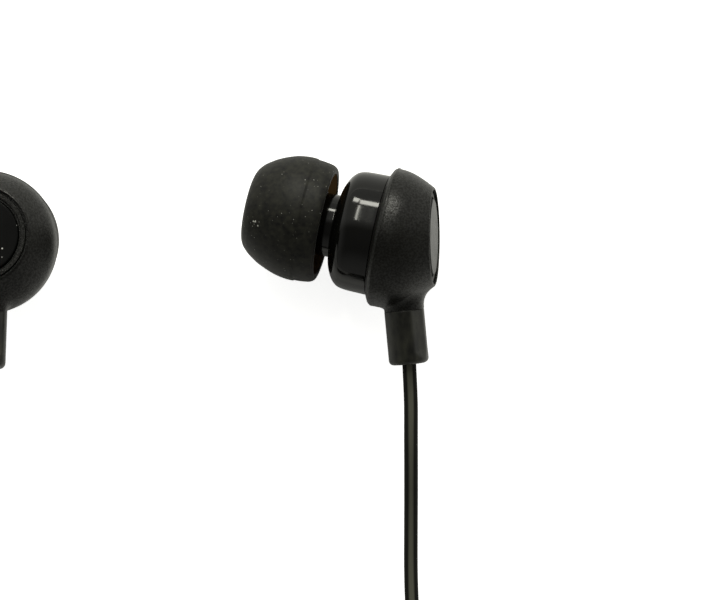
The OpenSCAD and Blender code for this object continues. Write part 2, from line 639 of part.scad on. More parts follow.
module y_splitter() {
    color([0.09, 0.09, 0.09]) translate(splitter_at) rotate([90, 0, 0]) hull() {
        linear_extrude(0.01) slot_shape(splitter_w - 0.8, splitter_thick - 0.8);
        translate([0, 0, 0.5]) linear_extrude(3) slot_shape(splitter_w, splitter_thick);
        translate([0, 0, splitter_length - 0.01])
            linear_extrude(0.01) slot_shape(main_d + 1.2, main_d + 1);
    }
}
module slot_shape(w, thick) {
    hull() for (s = [-1, 1]) translate([s * (w - thick) / 2, 0]) circle(d = thick, $fn = 32);
}
module main_cord_lead() {
    color([0.1, 0.1, 0.1])
        tube(concat([splitter_at - [0, splitter_length, 0]], main_lead_route), main_d / 2,
            cord_sides, [0, -1, 0], [0, -1, 0]);
}
module main_cord_coil() {
    count = len(main_coil_points);
    color([0.1, 0.1, 0.1]) on_coil(main_coil_at)
        tube(main_coil_points, main_d / 2, coil_sides, [0, -1, 0],
            main_coil_points[count - 1] - main_coil_points[count - 2]);
}
module main_cord_tail() {
    color([0.1, 0.1, 0.1])
        tube(main_tail_route, main_d / 2, cord_sides, [1, 0, 0], [0, -1, 0]);
}
module main_tie() {
    step = main_d + turn_gap;
    inner = main_coil_r - step * main_turns / 4 - main_d / 2 - 0.1;
    on_coil(main_coil_at) rotate([0, 0, 250])
        tie(sqrt(inner * inner - tie_w * tie_w / 4), main_coil_r + main_d / 2 + 0.1,
            coil_lift + main_d + 3 * step);
}

// Plug, drawn along +Z from the cord's end
module on_plug(z) { translate(plug_at) rotate([90, 0, 0]) translate([0, 0, z]) children(); }
grip_z = plug_relief_length;
jack_z = grip_z + grip_length;
sleeve_length = jack_length - jack_tip_length - jack_ring_length - 2 * insulator_length;
// Radii of the nested contacts, from the tip's rod outwards
rod_r = 0.45;
tube_step = 0.25;
module contact(r_in, length, back) {
    difference() {
        union() {
            cylinder(h = length, r = jack_r);
            translate([0, 0, -back]) cylinder(h = back + 0.1, r = r_in + tube_step - bore_fit);
        }
        translate([0, 0, -back - 1]) cylinder(h = back + length + 2, r = r_in);
    }
}
module plug_relief() {
    rings = 3;
    start_r = main_d / 2 + 0.5;
    step = (plug_relief_length - 2) / rings;
    grow = 0.3;
    color([0.08, 0.08, 0.08]) on_plug(0) rotate_extrude() polygon(concat(
        [[0, 0], [start_r, 0]],
        [for (i = [0:rings - 1]) let (z = 1 + i * step, r = start_r + grow * i)
            each [[r, z], [r - 0.3, z + 0.15], [r - 0.3, z + 0.7], [r + grow, z + 0.85]]],
        [[start_r + grow * rings + 0.1, plug_relief_length], [0, plug_relief_length]]));
}
module plug_grip() {
    color([0.08, 0.08, 0.08]) on_plug(grip_z) difference() {
        rotate_extrude() polygon(concat([[0, 0]],
            bend([grip_r - 1.2, 0], [grip_r, 0], [grip_r, 1.2]),
            [[grip_r, 3], [grip_r - 0.25, 3.6], [grip_r - 0.25, grip_length - 3],
             [grip_r, grip_length - 2.4], [grip_r, grip_length - 0.5],
             [grip_r - 0.5, grip_length], [0, grip_length]]));
        translate([0, 0, grip_length - jack_root - fit])
            cylinder(h = jack_root + 1, r = rod_r + 4 * tube_step);
    }
}
module jack_sleeve() {
    color([0.85, 0.68, 0.35]) on_plug(jack_z) contact(rod_r + 3 * tube_step, sleeve_length,
        jack_root);
}
module jack_rear_insulator() {
    color([0.05, 0.05, 0.05]) on_plug(jack_z + sleeve_length)
        contact(rod_r + 2 * tube_step, insulator_length, sleeve_length + jack_root - 0.2);
}
module jack_ring() {
    color([0.85, 0.68, 0.35]) on_plug(jack_z + sleeve_length + insulator_length)
        contact(rod_r + tube_step, jack_ring_length,
            insulator_length + sleeve_length + jack_root - 0.15);
}
module jack_front_insulator() {
    back = jack_ring_length + insulator_length + sleeve_length + jack_root - 0.1;
    color([0.05, 0.05, 0.05])
        on_plug(jack_z + sleeve_length + insulator_length + jack_ring_length)
            contact(rod_r, insulator_length, back);
}
module jack_tip() {
    back = jack_length - jack_tip_length + jack_root;
    color([0.85, 0.68, 0.35]) on_plug(jack_z + jack_length - jack_tip_length) {
        rotate_extrude() polygon([[0, 0], [jack_r, 0], [jack_r, 0.4],
            [jack_r - 0.55, 1.1], [jack_r - 0.55, 1.5], [jack_r - 0.2, 2.2],
            [jack_r - 0.2, 2.6], [jack_r - 0.9, jack_tip_length - 0.4],
            [jack_r - 1.3, jack_tip_length - 0.08], [jack_r - 1.6, jack_tip_length],
            [0, jack_tip_length]]);
        translate([0, 0, -back]) cylinder(h = back + 0.1, r = rod_r - bore_fit);
    }
}

right_ear_tip();
right_front_housing();
right_nozzle_mesh();
right_nozzle_damper();
right_driver_gasket();
right_driver_cover();
right_driver_frame();
right_diaphragm();
right_voice_coil();
right_top_plate();
right_magnet();
right_yoke();
right_damping_ring();
right_terminal_board();
right_lead_wires();
right_cord_end();
right_rear_cap();
right_badge_disc();
right_strain_relief();
left_ear_tip();
left_front_housing();
left_nozzle_mesh();
left_nozzle_damper();
left_driver_gasket();
left_driver_cover();
left_driver_frame();
left_diaphragm();
left_voice_coil();
left_top_plate();
left_magnet();
left_yoke();
left_damping_ring();
left_terminal_board();
left_lead_wires();
left_cord_end();
left_rear_cap();
left_badge_disc();
left_strain_relief();
right_cord();
right_cord_coil();
right_cord_tail();
right_tie();
left_cord();
left_cord_coil();
left_cord_tail();
left_tie();
y_splitter();
main_cord_lead();
main_cord_coil();
main_cord_tail();
main_tie();
plug_relief();
plug_grip();
jack_sleeve();
jack_rear_insulator();
jack_ring();
jack_front_insulator();
jack_tip();
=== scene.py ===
# Wired in-ear earphones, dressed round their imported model. Blender's units are metres; the sizes
# in the dictionaries below are millimetres, and addPiece turns them into metres.
import json
import math

import bmesh
import bpy
import numpy as np
from mathutils import Quaternion, Vector
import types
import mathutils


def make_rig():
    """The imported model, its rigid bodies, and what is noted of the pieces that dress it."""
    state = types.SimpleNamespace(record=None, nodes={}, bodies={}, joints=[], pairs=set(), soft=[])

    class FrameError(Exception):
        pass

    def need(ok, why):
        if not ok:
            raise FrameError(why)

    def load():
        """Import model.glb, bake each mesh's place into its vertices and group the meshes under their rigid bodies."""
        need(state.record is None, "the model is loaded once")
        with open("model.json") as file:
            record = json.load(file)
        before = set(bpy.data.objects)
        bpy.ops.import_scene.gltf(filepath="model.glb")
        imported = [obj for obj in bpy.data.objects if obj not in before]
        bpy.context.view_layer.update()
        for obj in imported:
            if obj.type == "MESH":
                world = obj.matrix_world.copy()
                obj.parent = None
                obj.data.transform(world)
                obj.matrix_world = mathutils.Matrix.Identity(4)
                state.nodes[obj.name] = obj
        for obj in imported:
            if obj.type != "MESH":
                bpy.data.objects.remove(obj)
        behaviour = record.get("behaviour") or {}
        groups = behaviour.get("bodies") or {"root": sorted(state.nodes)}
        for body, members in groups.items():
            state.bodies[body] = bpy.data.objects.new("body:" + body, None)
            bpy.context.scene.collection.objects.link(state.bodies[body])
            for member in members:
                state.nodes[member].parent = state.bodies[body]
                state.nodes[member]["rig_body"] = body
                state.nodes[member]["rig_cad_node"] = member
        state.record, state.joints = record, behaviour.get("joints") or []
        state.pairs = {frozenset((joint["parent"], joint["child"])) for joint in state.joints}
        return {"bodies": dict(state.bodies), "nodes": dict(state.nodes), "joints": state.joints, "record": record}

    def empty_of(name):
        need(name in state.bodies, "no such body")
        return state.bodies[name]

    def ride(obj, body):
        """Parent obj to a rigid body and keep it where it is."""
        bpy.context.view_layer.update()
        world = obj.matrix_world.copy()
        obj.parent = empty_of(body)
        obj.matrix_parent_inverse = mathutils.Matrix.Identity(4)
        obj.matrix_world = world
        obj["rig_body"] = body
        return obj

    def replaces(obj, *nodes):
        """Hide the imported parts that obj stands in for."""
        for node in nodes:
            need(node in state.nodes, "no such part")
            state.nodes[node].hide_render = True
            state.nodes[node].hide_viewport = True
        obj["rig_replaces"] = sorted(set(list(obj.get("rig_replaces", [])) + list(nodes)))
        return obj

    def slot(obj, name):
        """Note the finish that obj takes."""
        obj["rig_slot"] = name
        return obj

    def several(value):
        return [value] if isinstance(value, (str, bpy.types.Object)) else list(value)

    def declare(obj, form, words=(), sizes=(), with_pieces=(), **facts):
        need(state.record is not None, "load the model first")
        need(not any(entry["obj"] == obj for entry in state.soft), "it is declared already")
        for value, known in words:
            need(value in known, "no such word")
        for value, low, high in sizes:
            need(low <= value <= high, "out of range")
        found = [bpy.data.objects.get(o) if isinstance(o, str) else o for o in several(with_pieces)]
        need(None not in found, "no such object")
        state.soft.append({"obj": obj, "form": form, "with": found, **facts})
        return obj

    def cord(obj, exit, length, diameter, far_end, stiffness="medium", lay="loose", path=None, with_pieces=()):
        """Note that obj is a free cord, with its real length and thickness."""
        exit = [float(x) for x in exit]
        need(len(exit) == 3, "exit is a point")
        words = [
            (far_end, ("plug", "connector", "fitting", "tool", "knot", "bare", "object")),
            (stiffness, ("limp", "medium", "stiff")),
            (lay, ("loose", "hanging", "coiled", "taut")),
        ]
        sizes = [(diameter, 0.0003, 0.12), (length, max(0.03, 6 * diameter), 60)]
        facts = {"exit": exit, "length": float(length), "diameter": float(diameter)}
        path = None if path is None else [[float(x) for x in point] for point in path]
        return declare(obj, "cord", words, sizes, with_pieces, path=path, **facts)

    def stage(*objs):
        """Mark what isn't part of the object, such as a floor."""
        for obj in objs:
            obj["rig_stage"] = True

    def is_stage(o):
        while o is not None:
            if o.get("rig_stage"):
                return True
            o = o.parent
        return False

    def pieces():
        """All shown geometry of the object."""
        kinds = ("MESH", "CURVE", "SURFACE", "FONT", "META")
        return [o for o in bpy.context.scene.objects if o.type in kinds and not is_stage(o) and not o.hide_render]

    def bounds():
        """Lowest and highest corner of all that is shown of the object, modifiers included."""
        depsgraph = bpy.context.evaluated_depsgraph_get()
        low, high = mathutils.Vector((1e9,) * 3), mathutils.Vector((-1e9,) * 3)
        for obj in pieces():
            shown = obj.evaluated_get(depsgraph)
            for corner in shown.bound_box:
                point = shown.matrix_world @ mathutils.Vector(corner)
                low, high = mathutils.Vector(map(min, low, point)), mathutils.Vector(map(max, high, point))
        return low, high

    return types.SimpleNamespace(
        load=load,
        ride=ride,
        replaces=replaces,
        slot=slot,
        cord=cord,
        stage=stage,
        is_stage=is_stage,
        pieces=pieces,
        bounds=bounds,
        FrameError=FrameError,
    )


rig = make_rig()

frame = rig.load()
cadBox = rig.bounds()
bodyName = "earphones"
mmPerMetre = 1000
weldDistance = 2e-7   # metres
print("frame loaded")

# How the two earbuds lie, and the levels in an earbud's own frame: z = 0 is the front of the
# housing, -z goes into the ear, and -y is the stem's side.
lay = {
    "right": {"at": (15.5, 3.85, 6.47712), "turns": (("z", -12), ("y", 83.64427), ("z", 4))},
    "left": {"at": (-18.34, 2.6, 9.28041), "turns": (("y", -4.2), ("x", 4.5))},
}
bud = {"rimZ": 5.13, "capTilt": 12, "stemZ": 6.38, "stemTilt": 17, "reliefEnd": 12.47}


def turn(axis, degrees):
    # The matrix that turns about one axis: cosines on the diagonal, sines off it.
    c, s = math.cos(math.radians(degrees)), math.sin(math.radians(degrees))
    i, j = {"x": (1, 2), "y": (2, 0), "z": (0, 1)}[axis]
    matrix = np.eye(3)
    matrix[i, i] = matrix[j, j] = c
    matrix[i, j], matrix[j, i] = -s, s
    return matrix


def turns(steps):
    # Turns applied one after another, the last one named first.
    matrix = np.eye(3)
    for axis, degrees in steps:
        matrix = matrix @ turn(axis, degrees)
    return matrix


def placed(points, side):
    # An earbud's points in the shared frame: turned as it lies, then moved there.
    return points @ turns(lay[side]["turns"]).T + np.array(lay[side]["at"])


def onCapAxis(points):
    # Points about the tilted outer face of the cap, in the earbud's frame.
    return points @ turn("x", -bud["capTilt"]).T + np.array([0, 0, bud["rimZ"]])


def onStemAxis(points):
    # Points about the stem, whose own +z runs down the cord, in the earbud's frame.
    return points @ turn("x", 90 - bud["stemTilt"]).T + np.array([0, 0, bud["stemZ"]])


def bend(a, b, c, steps=8):
    # A curve from a to c, pulled towards b: (1-t)^2 a + 2t(1-t) b + t^2 c. Each is one point or
    # a ring of points.
    a, b, c = (np.array(p, float) for p in (a, b, c))
    t = np.linspace(0, 1, steps + 1).reshape(-1, *[1] * a.ndim)
    return (1 - t) ** 2 * a + 2 * t * (1 - t) * b + t * t * c


def outline(*parts):
    # Points and curves one after another, without the points that repeat.
    points = np.vstack([np.atleast_2d(np.array(p, float)) for p in parts])
    step = np.linalg.norm(np.diff(points, axis=0), axis=1)
    return points[np.append(True, step > 1e-6)]


def rounded(corners, radius, steps=3, guard=1.6):
    # Straight lines whose inner corners are small curves, each with a point before and after it,
    # guard radii from the corner, so that the flats beside it shade flat. radius is one number
    # or one for each corner.
    corners = np.array(corners, float)
    radii = np.broadcast_to(np.array(radius, float), len(corners))
    parts = [corners[0]]
    for before, here, after, r in zip(corners, corners[1:], corners[2:], radii[1:]):
        back, on = before - here, after - here
        back, on = back / np.linalg.norm(back), on / np.linalg.norm(on)
        parts += [here + guard * r * back, bend(here + r * back, here, here + r * on, steps),
                  here + guard * r * on]
    return outline(*parts, corners[-1])


def lathe(profile, columns):
    # A profile of radius and height turned about z: (r cos a, r sin a, z).
    a = np.linspace(0, 2 * math.pi, columns, endpoint=False)
    r, z = profile[:, 0, None], profile[:, 1, None]
    return np.stack([r * np.cos(a), r * np.sin(a), z + 0 * a], axis=-1)


def smoothLine(points, steps=6):
    # A smooth line through points, four neighbours at a time (Catmull and Rom's spline).
    p = np.array(points, float)
    p = np.vstack([2 * p[0] - p[1], p, 2 * p[-1] - p[-2]])
    t = np.linspace(0, 1, steps, endpoint=False)[None, :, None]
    a, b, c, d = (p[i:len(p) - 3 + i, None] for i in range(4))
    line = 0.5 * (2 * b + (c - a) * t + (2 * a - 5 * b + 4 * c - d) * t ** 2
                  + (3 * b - a - 3 * c + d) * t ** 3)
    return np.vstack([line.reshape(-1, p.shape[1]), p[-2]])


def alongLine(line):
    # The unit way of travel at each point, and how far along the line it lies.
    way = np.gradient(line, axis=0)
    far = np.append(0, np.cumsum(np.linalg.norm(np.diff(line, axis=0), axis=1)))
    return way / np.linalg.norm(way, axis=1)[:, None], far


def tube(line, radius, sides=16):
    # A round tube: rings square to the way of travel, with up never along it.
    way, _ = alongLine(line)
    across = np.cross(way, (0, 0, 1))
    across /= np.linalg.norm(across, axis=1)[:, None]
    top = np.cross(across, way)
    a = np.linspace(0, 2 * math.pi, sides, endpoint=False)[None, :, None]
    return line[:, None] + radius * (np.cos(a) * across[:, None] + np.sin(a) * top[:, None])


def gridFaces(rows, columns, ring):
    # Quads between neighbouring rows and columns: the last column joins the first, and with
    # ring the last row joins the first too.
    i = np.arange(rows if ring else rows - 1)[:, None]
    j = np.arange(columns)[None, :]
    nextI, nextJ = (i + 1) % rows, (j + 1) % columns
    quads = [i * columns + j, i * columns + nextJ, nextI * columns + nextJ, nextI * columns + j]
    corners = [(i, j), (i, j + 1), (i + 1, j + 1), (i + 1, j)]
    spread = np.stack([np.stack(np.broadcast_arrays(*c), -1) for c in corners], 2)
    return np.stack(quads, -1).reshape(-1, 4), spread.reshape(-1, 2)


def addPiece(name, surfaces, materials, body=bodyName, slot=None, replaces=(), sharp=32):
    # One closed piece from grids of points in millimetres. Each surface is a dictionary with its
    # points, and says whether it closes as a ring, whether its ends get lids, which rows have the
    # second material, and how long it is for its pattern.
    points, faces, uvs, shades, start = [], [], [], [], 0
    for s in surfaces:
        grid = s["points"]
        rows, columns = grid.shape[:2]
        quads, spread = gridFaces(rows, columns, s.get("ring", False))
        along = np.append(s.get("along", np.arange(rows)), s.get("endAlong", rows))
        uv = np.stack([spread[:, 1] / columns * s.get("girth", 1), along[spread[:, 0]]], -1)
        second = s.get("second", (0, 0))
        row = spread[::4, 0]
        points.append(grid.reshape(-1, 3) / mmPerMetre)
        faces += (quads + start).tolist()
        uvs.append(uv)
        shades.append(((row >= second[0]) & (row < second[1])).astype(np.int32))
        if s.get("lids"):
            first = np.arange(columns) + start
            faces += [first[::-1].tolist(), (first + (rows - 1) * columns).tolist()]
            uvs.append(np.zeros((2 * columns, 2)))
            shades.append(np.zeros(2, np.int32))
        start += rows * columns
    mesh = bpy.data.meshes.new(name)
    mesh.from_pydata(np.vstack(points).tolist(), [], faces)
    layer = mesh.uv_layers.new(name="surface")
    layer.data.foreach_set("uv", np.vstack(uvs).astype(np.float32).ravel())
    mesh.polygons.foreach_set("material_index", np.concatenate(shades))
    work = bmesh.new()
    work.from_mesh(mesh)
    bmesh.ops.remove_doubles(work, verts=work.verts, dist=weldDistance)
    bmesh.ops.recalc_face_normals(work, faces=work.faces)
    work.to_mesh(mesh)
    work.free()
    mesh.polygons.foreach_set("use_smooth", np.ones(len(mesh.polygons), bool))
    mesh.set_sharp_from_angle(angle=math.radians(sharp))
    mesh.update()
    for m in materials:
        mesh.materials.append(m)
    piece = bpy.data.objects.new(name, mesh)
    bpy.context.scene.collection.objects.link(piece)
    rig.ride(piece, body)
    if replaces:
        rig.replaces(piece, *replaces)
    if slot:
        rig.slot(piece, slot)
    return piece


def addPair(name, surfaces, material, slot, node, sharp=40):
    # The same piece on both earbuds, from surfaces in an earbud's own frame.
    for side in lay:
        moved = [{**s, "points": placed(s["points"], side)} for s in surfaces]
        addPiece(side + name, moved, [material], slot=slot, replaces=[side + node], sharp=sharp)


# The camera stands over the table, so far back that the view is nearly flat.
cameraView = {"at": (17.94, -3.51, 450), "lens": 221.6, "clipStart": 0.02}
cameraData = bpy.data.cameras.new("camera")
cameraData.lens = cameraView["lens"]
cameraData.clip_start = cameraView["clipStart"]
cameraObject = bpy.data.objects.new("camera", cameraData)
cameraObject.location = Vector(cameraView["at"]) / mmPerMetre
bpy.context.scene.collection.objects.link(cameraObject)
bpy.context.scene.camera = cameraObject
bpy.context.scene.view_settings.view_transform = "Standard"


def colour(hexText):
    # An sRGB hex colour as linear light: c/12.92 below 0.04045, else ((c+0.055)/1.055)^2.4.
    parts = np.array([int(hexText[i:i + 2], 16) for i in (1, 3, 5)]) / 255
    linear = np.where(parts <= 0.04045, parts / 12.92, ((parts + 0.055) / 1.055) ** 2.4)
    return (*linear.tolist(), 1.0)


def link(tree, node, sources):
    # Each named input takes what an output gives; of a whole node the first output counts.
    for key, source in sources.items():
        tree.links.new(getattr(source, "outputs", [source])[0], node.inputs[key])


def addNode(tree, kind, settings=None, sources=None):
    # A node of one kind, with its inputs or properties set and its inputs linked.
    node = tree.nodes.new("ShaderNode" + kind)
    for key, value in (settings or {}).items():
        if key == "stops":
            for element, (place, shade) in zip(node.color_ramp.elements, value):
                element.position, element.color = place, shade
        elif isinstance(key, int) or key in node.inputs:
            node.inputs[key].default_value = value
        else:
            setattr(node, key, value)
    link(tree, node, sources or {})
    return node


def perMetre(millimetres):
    # A pattern's scale from the real size of one of its cells.
    return mmPerMetre / millimetres


def newMaterial(name, settings):
    # A material with one principled shader, and what its patterns start from.
    material = bpy.data.materials.new(name)
    material.use_nodes = True
    tree = material.node_tree
    tree.nodes.clear()
    shader = addNode(tree, "BsdfPrincipled", settings)
    addNode(tree, "OutputMaterial", {}, {"Surface": shader})
    place = addNode(tree, "TexCoord")
    return material, tree, shader, place.outputs["Object"], place.outputs["UV"]


def tinted(tree, shader, where, cell, dark, light, detail=4, spread=(0.35, 0.65)):
    # Slow changes of colour: noise of one cell size between two colours.
    noise = addNode(tree, "TexNoise", {"Scale": perMetre(cell), "Detail": detail}, {"Vector": where})
    ramp = addNode(tree, "ValToRGB", {"stops": zip(spread, (colour(dark), colour(light)))},
                   {"Fac": noise})
    link(tree, shader, {"Base Color": ramp})
    return ramp


def paled(tree, shader, ramp, shade, share):
    # The material's colour goes over to a paler one by a share from 0 to 1.
    mix = addNode(tree, "Mix", {"data_type": "RGBA", 7: colour(shade)}, {0: share, 6: ramp})
    link(tree, shader, {"Base Color": mix.outputs[2]})


def roughened(tree, shader, where, cell, rough, spread):
    # Roughness that wanders between two shares of one value, as handling leaves it.
    noise = addNode(tree, "TexNoise", {"Scale": perMetre(cell), "Detail": 3}, {"Vector": where})
    span = addNode(tree, "MapRange", {"To Min": rough * spread[0], "To Max": rough * spread[1]},
                   {"Value": noise})
    link(tree, shader, {"Roughness": span})
    return noise


def bumped(tree, shader, height, depth, strength):
    # A relief of so many millimetres from a height between 0 and 1.
    bump = addNode(tree, "Bump", {"Strength": strength, "Distance": depth / mmPerMetre},
                   {"Height": height})
    link(tree, shader, {"Normal": bump})


def grained(tree, shader, where, cell, depth, strength, detail=2, harsh=0.5):
    # A relief of so many millimetres from noise of one cell size.
    noise = addNode(tree, "TexNoise", {"Scale": perMetre(cell), "Detail": detail,
                                       "Roughness": harsh}, {"Vector": where})
    bumped(tree, shader, noise, depth, strength)


def specks(tree, where, share, cell, core, edge, power):
    # Dust: a share of the cells of one size hold a speck each, which fades between two distances
    # from its middle, in parts of the cell. A random number raised to the power makes few bright.
    cells = addNode(tree, "TexVoronoi", {"Scale": perMetre(cell)}, {"Vector": where})
    reach = addNode(tree, "MapRange", {"From Min": core, "From Max": edge, "To Min": 1, "To Max": 0},
                    {"Value": cells})
    split = addNode(tree, "SeparateColor", {}, {"Color": cells.outputs["Color"]})
    chosen = addNode(tree, "Math", {"operation": "GREATER_THAN", 1: 1 - share},
                     {0: split.outputs["Red"]})
    speck = addNode(tree, "Math", {"operation": "MULTIPLY"}, {0: reach, 1: chosen})
    spread = addNode(tree, "Math", {"operation": "POWER", 1: power}, {0: split.outputs["Green"]})
    return addNode(tree, "Math", {"operation": "MULTIPLY"}, {0: speck, 1: spread})


# The fluff on the right tip: where it is, how far it is whole and how far it reaches, and the
# size of a cell with one thread in it, all in mm
lint = {"at": (7.42, 4.1, 10.5), "whole": 0.432, "reach": 0.72, "cell": 0.34,
        "thread": (0.12, 0.34), "bright": 0.9}


def fluff(tree, where):
    # Short threads, one in each cell, that thin out with the distance from one place.
    middle = tuple(v / mmPerMetre for v in lint["at"])
    far = addNode(tree, "VectorMath", {"operation": "DISTANCE", 1: middle}, {0: where})
    near = addNode(tree, "MapRange", {
        "From Min": lint["whole"] / mmPerMetre, "From Max": lint["reach"] / mmPerMetre,
        "To Min": 1, "To Max": 0}, {"Value": far.outputs["Value"]})
    cells = addNode(tree, "TexVoronoi", {"Scale": perMetre(lint["cell"])}, {"Vector": where})
    thread = addNode(tree, "MapRange", {
        "From Min": lint["thread"][0], "From Max": lint["thread"][1],
        "To Min": lint["bright"], "To Max": 0}, {"Value": cells})
    return addNode(tree, "Math", {"operation": "MULTIPLY"}, {0: thread, 1: near})


def mouldedSilicone(name, dark, light, dusty=0, through="#000000"):
    # Liquid silicone rubber from a fine-blasted mould: a soft wide sheen, and dust that clings.
    # The light that shines through its thin wall is painted as a faint glow of its own, stronger
    # towards +y where the lamps stand: it grows over y from 3.5 to 8 mm.
    material, tree, shader, where, _ = newMaterial(name, {
        "Roughness": 0.52, "IOR": 1.41, "Specular IOR Level": 0.22, "Sheen Weight": 0.04,
        "Sheen Roughness": 0.4, "Emission Color": colour(through), "Emission Strength": 0.0})
    if dusty:
        ramp = tinted(tree, shader, where, 0.55, dark, light, detail=6, spread=(0.32, 0.68))
        fine = specks(tree, where, dusty, cell=0.3, core=0.05, edge=0.16, power=2.5)
        pale = addNode(tree, "Math", {"operation": "MAXIMUM"},
                       {0: fine, 1: fluff(tree, where)})
        paled(tree, shader, ramp, "#c4c4bd", pale)
    else:
        # The inner wall's brown colours and its glow are painted light shining through the thin skirt.
        tinted(tree, shader, where, 2.2, dark, light)
        split = addNode(tree, "SeparateXYZ", {}, {"Vector": where})
        lit = addNode(tree, "MapRange", {"From Min": 0.0035, "From Max": 0.008},
                      {"Value": split.outputs["Y"]})
        link(tree, shader, {"Emission Strength": lit})
    grained(tree, shader, where, 0.12, 0.012, 0.6)
    return material


def polishedAbs(name, dark, light, rough, shine=0.22, dusty=0):
    # ABS from a mirror-polished mould: near-black, with sharp highlights and faint moulding waves.
    material, tree, shader, where, _ = newMaterial(name, {"IOR": 1.53, "Specular IOR Level": shine})
    ramp = tinted(tree, shader, where, 6, dark, light)
    if dusty:
        fine = specks(tree, where, dusty, cell=0.8, core=0.05, edge=0.13, power=1.2)
        paled(tree, shader, ramp, "#d8d8d4", fine)
    roughened(tree, shader, where, 1.4, rough, (0.8, 1.3))
    grained(tree, shader, where, 2.4, 0.02, 0.25, detail=1)
    return material


def sparkEroded(name, dark, light, rough, grain, depth, glint=None):
    # ABS from a spark-eroded mould: a fine even grain whose facets glint where light grazes it.
    # The real grain is near 0.05 mm; it is drawn coarser, as fine as a render can show. glint is
    # the size of a facet and the strengths of reflection between which facets differ.
    material, tree, shader, where, _ = newMaterial(name, {"IOR": 1.5, "Specular IOR Level": 0.22})
    tinted(tree, shader, where, 3.5, dark, light)
    roughened(tree, shader, where, 0.5, rough, (0.85, 1.15))
    grained(tree, shader, where, grain, depth, 1.0, harsh=0.7)
    if glint:
        facets = addNode(tree, "TexNoise", {"Scale": perMetre(glint[0]), "Detail": 1},
                         {"Vector": where})
        span = addNode(tree, "MapRange", {"From Min": 0.38, "From Max": 0.62, "To Min": glint[1],
                                          "To Max": glint[2]}, {"Value": facets})
        link(tree, shader, {"Specular IOR Level": span})
    return material


def satinRubber(name, dark, light, rough, shine=0.22, alongCell=None, paintedTopHighlight=None, cell=4, drawn=1):
    # Thermoplastic elastomer: satin black, its colour drawn out along y. A cord has the faint
    # long lines that a die leaves, and a painted highlight on the side that lies uppermost: it
    # grows as the upward part of the surface direction goes from 0.84 to 0.98.
    material, tree, shader, where, surface = newMaterial(name, {
        "IOR": 1.47, "Specular IOR Level": shine})
    flow = addNode(tree, "Mapping", {"Scale": (1, 1 / drawn, 1)}, {"Vector": where})
    ramp = tinted(tree, shader, flow, cell, dark, light, detail=5)
    roughened(tree, shader, flow, min(cell, 0.9), rough, (0.8, 1.2))
    if alongCell:
        geometry = addNode(tree, "NewGeometry")
        split = addNode(tree, "SeparateXYZ", {}, {"Vector": geometry.outputs["Normal"]})
        upward = addNode(tree, "MapRange", {"interpolation_type": "SMOOTHSTEP", "From Min": 0.84,
                                            "From Max": 0.98}, {"Value": split.outputs["Z"]})
        # Painted highlight: the uppermost side goes paler, as if lit from above.
        paled(tree, shader, ramp, paintedTopHighlight, upward)
        stretch = addNode(tree, "Mapping", {"Scale": (1 / alongCell, 1 / (alongCell * 60), 1)},
                          {"Vector": surface})
        lines = addNode(tree, "TexNoise", {"Scale": 1, "Detail": 2}, {"Vector": stretch})
        bumped(tree, shader, lines, 0.012, 0.5)
    else:
        grained(tree, shader, where, 0.15, 0.012, 0.5)
    return material


def metal(name, dark, light, rough, cell=0.4):
    # A bare or plated metal, with the fine wander of roughness that drawing or plating leaves.
    material, tree, shader, where, _ = newMaterial(name, {"Metallic": 1.0})
    tinted(tree, shader, where, 1.2, dark, light)
    noise = roughened(tree, shader, where, cell, rough, (0.7, 1.3))
    bumped(tree, shader, noise, 0.006, 0.4)
    return material


def fibrous(name, dark, light, cell):
    # Felt, foam or paper: matt, with its fibres or cells as colour and relief.
    material, tree, shader, where, _ = newMaterial(name, {"Roughness": 0.95, "IOR": 1.4})
    tinted(tree, shader, where, cell, dark, light, detail=6)
    cells = addNode(tree, "TexVoronoi", {"Scale": perMetre(cell)}, {"Vector": where})
    bumped(tree, shader, cells, cell * 0.4, 0.8)
    return material


def clearFilm(name, dark, light):
    # Polyester film, heat-formed: straw coloured, thin and slightly see-through.
    material, tree, shader, where, _ = newMaterial(name, {
        "Roughness": 0.18, "IOR": 1.57, "Transmission Weight": 0.35})
    tinted(tree, shader, where, 0.8, dark, light)
    grained(tree, shader, where, 0.5, 0.01, 0.4, detail=1)
    return material


tipSilicone = mouldedSilicone("silicone_moulded_black", "#070706", "#1f1f19", dusty=0.45)
# The tip's inner wall: its brown colours and glow are painted light, shining through the thin skirt from the lamps'
# side.
tipLiningPaintedGlow = mouldedSilicone("silicone_inner_painted_glow", "#4a3820", "#5c482b", through="#251b0e")
housingAbs = polishedAbs("abs_polished_black", "#070706", "#0a0a09", rough=0.09)
capAbs = sparkEroded("abs_spark_eroded_black", "#0b0b09", "#10100d", rough=0.31, grain=0.14,
                     depth=0.026, glint=(0.2, 0.15, 0.31))
discAcrylic = polishedAbs("acrylic_disc_black", "#101010", "#141414", rough=0.2, shine=0.035,
                          dusty=0.35)
reliefRubber = satinRubber("tpe_moulded_black", "#090907", "#26261f", rough=0.34, shine=0.36,
                           cell=0.9, drawn=2.6)
# The cord's pale top line is a painted highlight.
cordJacket = satinRubber("tpe_cord_jacket", "#11110f", "#181815", rough=0.7, shine=0.1,
                         alongCell=0.25, paintedTopHighlight="#54544a")
gripRubber = satinRubber("tpe_grip_black", "#171715", "#1d1d1b", rough=0.4)
tiePvc = satinRubber("pvc_tie_black", "#121211", "#191918", rough=0.4)
goldPlate = metal("gold_plated_brass", "#d8aa5c", "#e6c07a", rough=0.16)
ringPlastic = polishedAbs("pom_insulator_black", "#0d0d0d", "#131313", rough=0.25)
print("materials made")

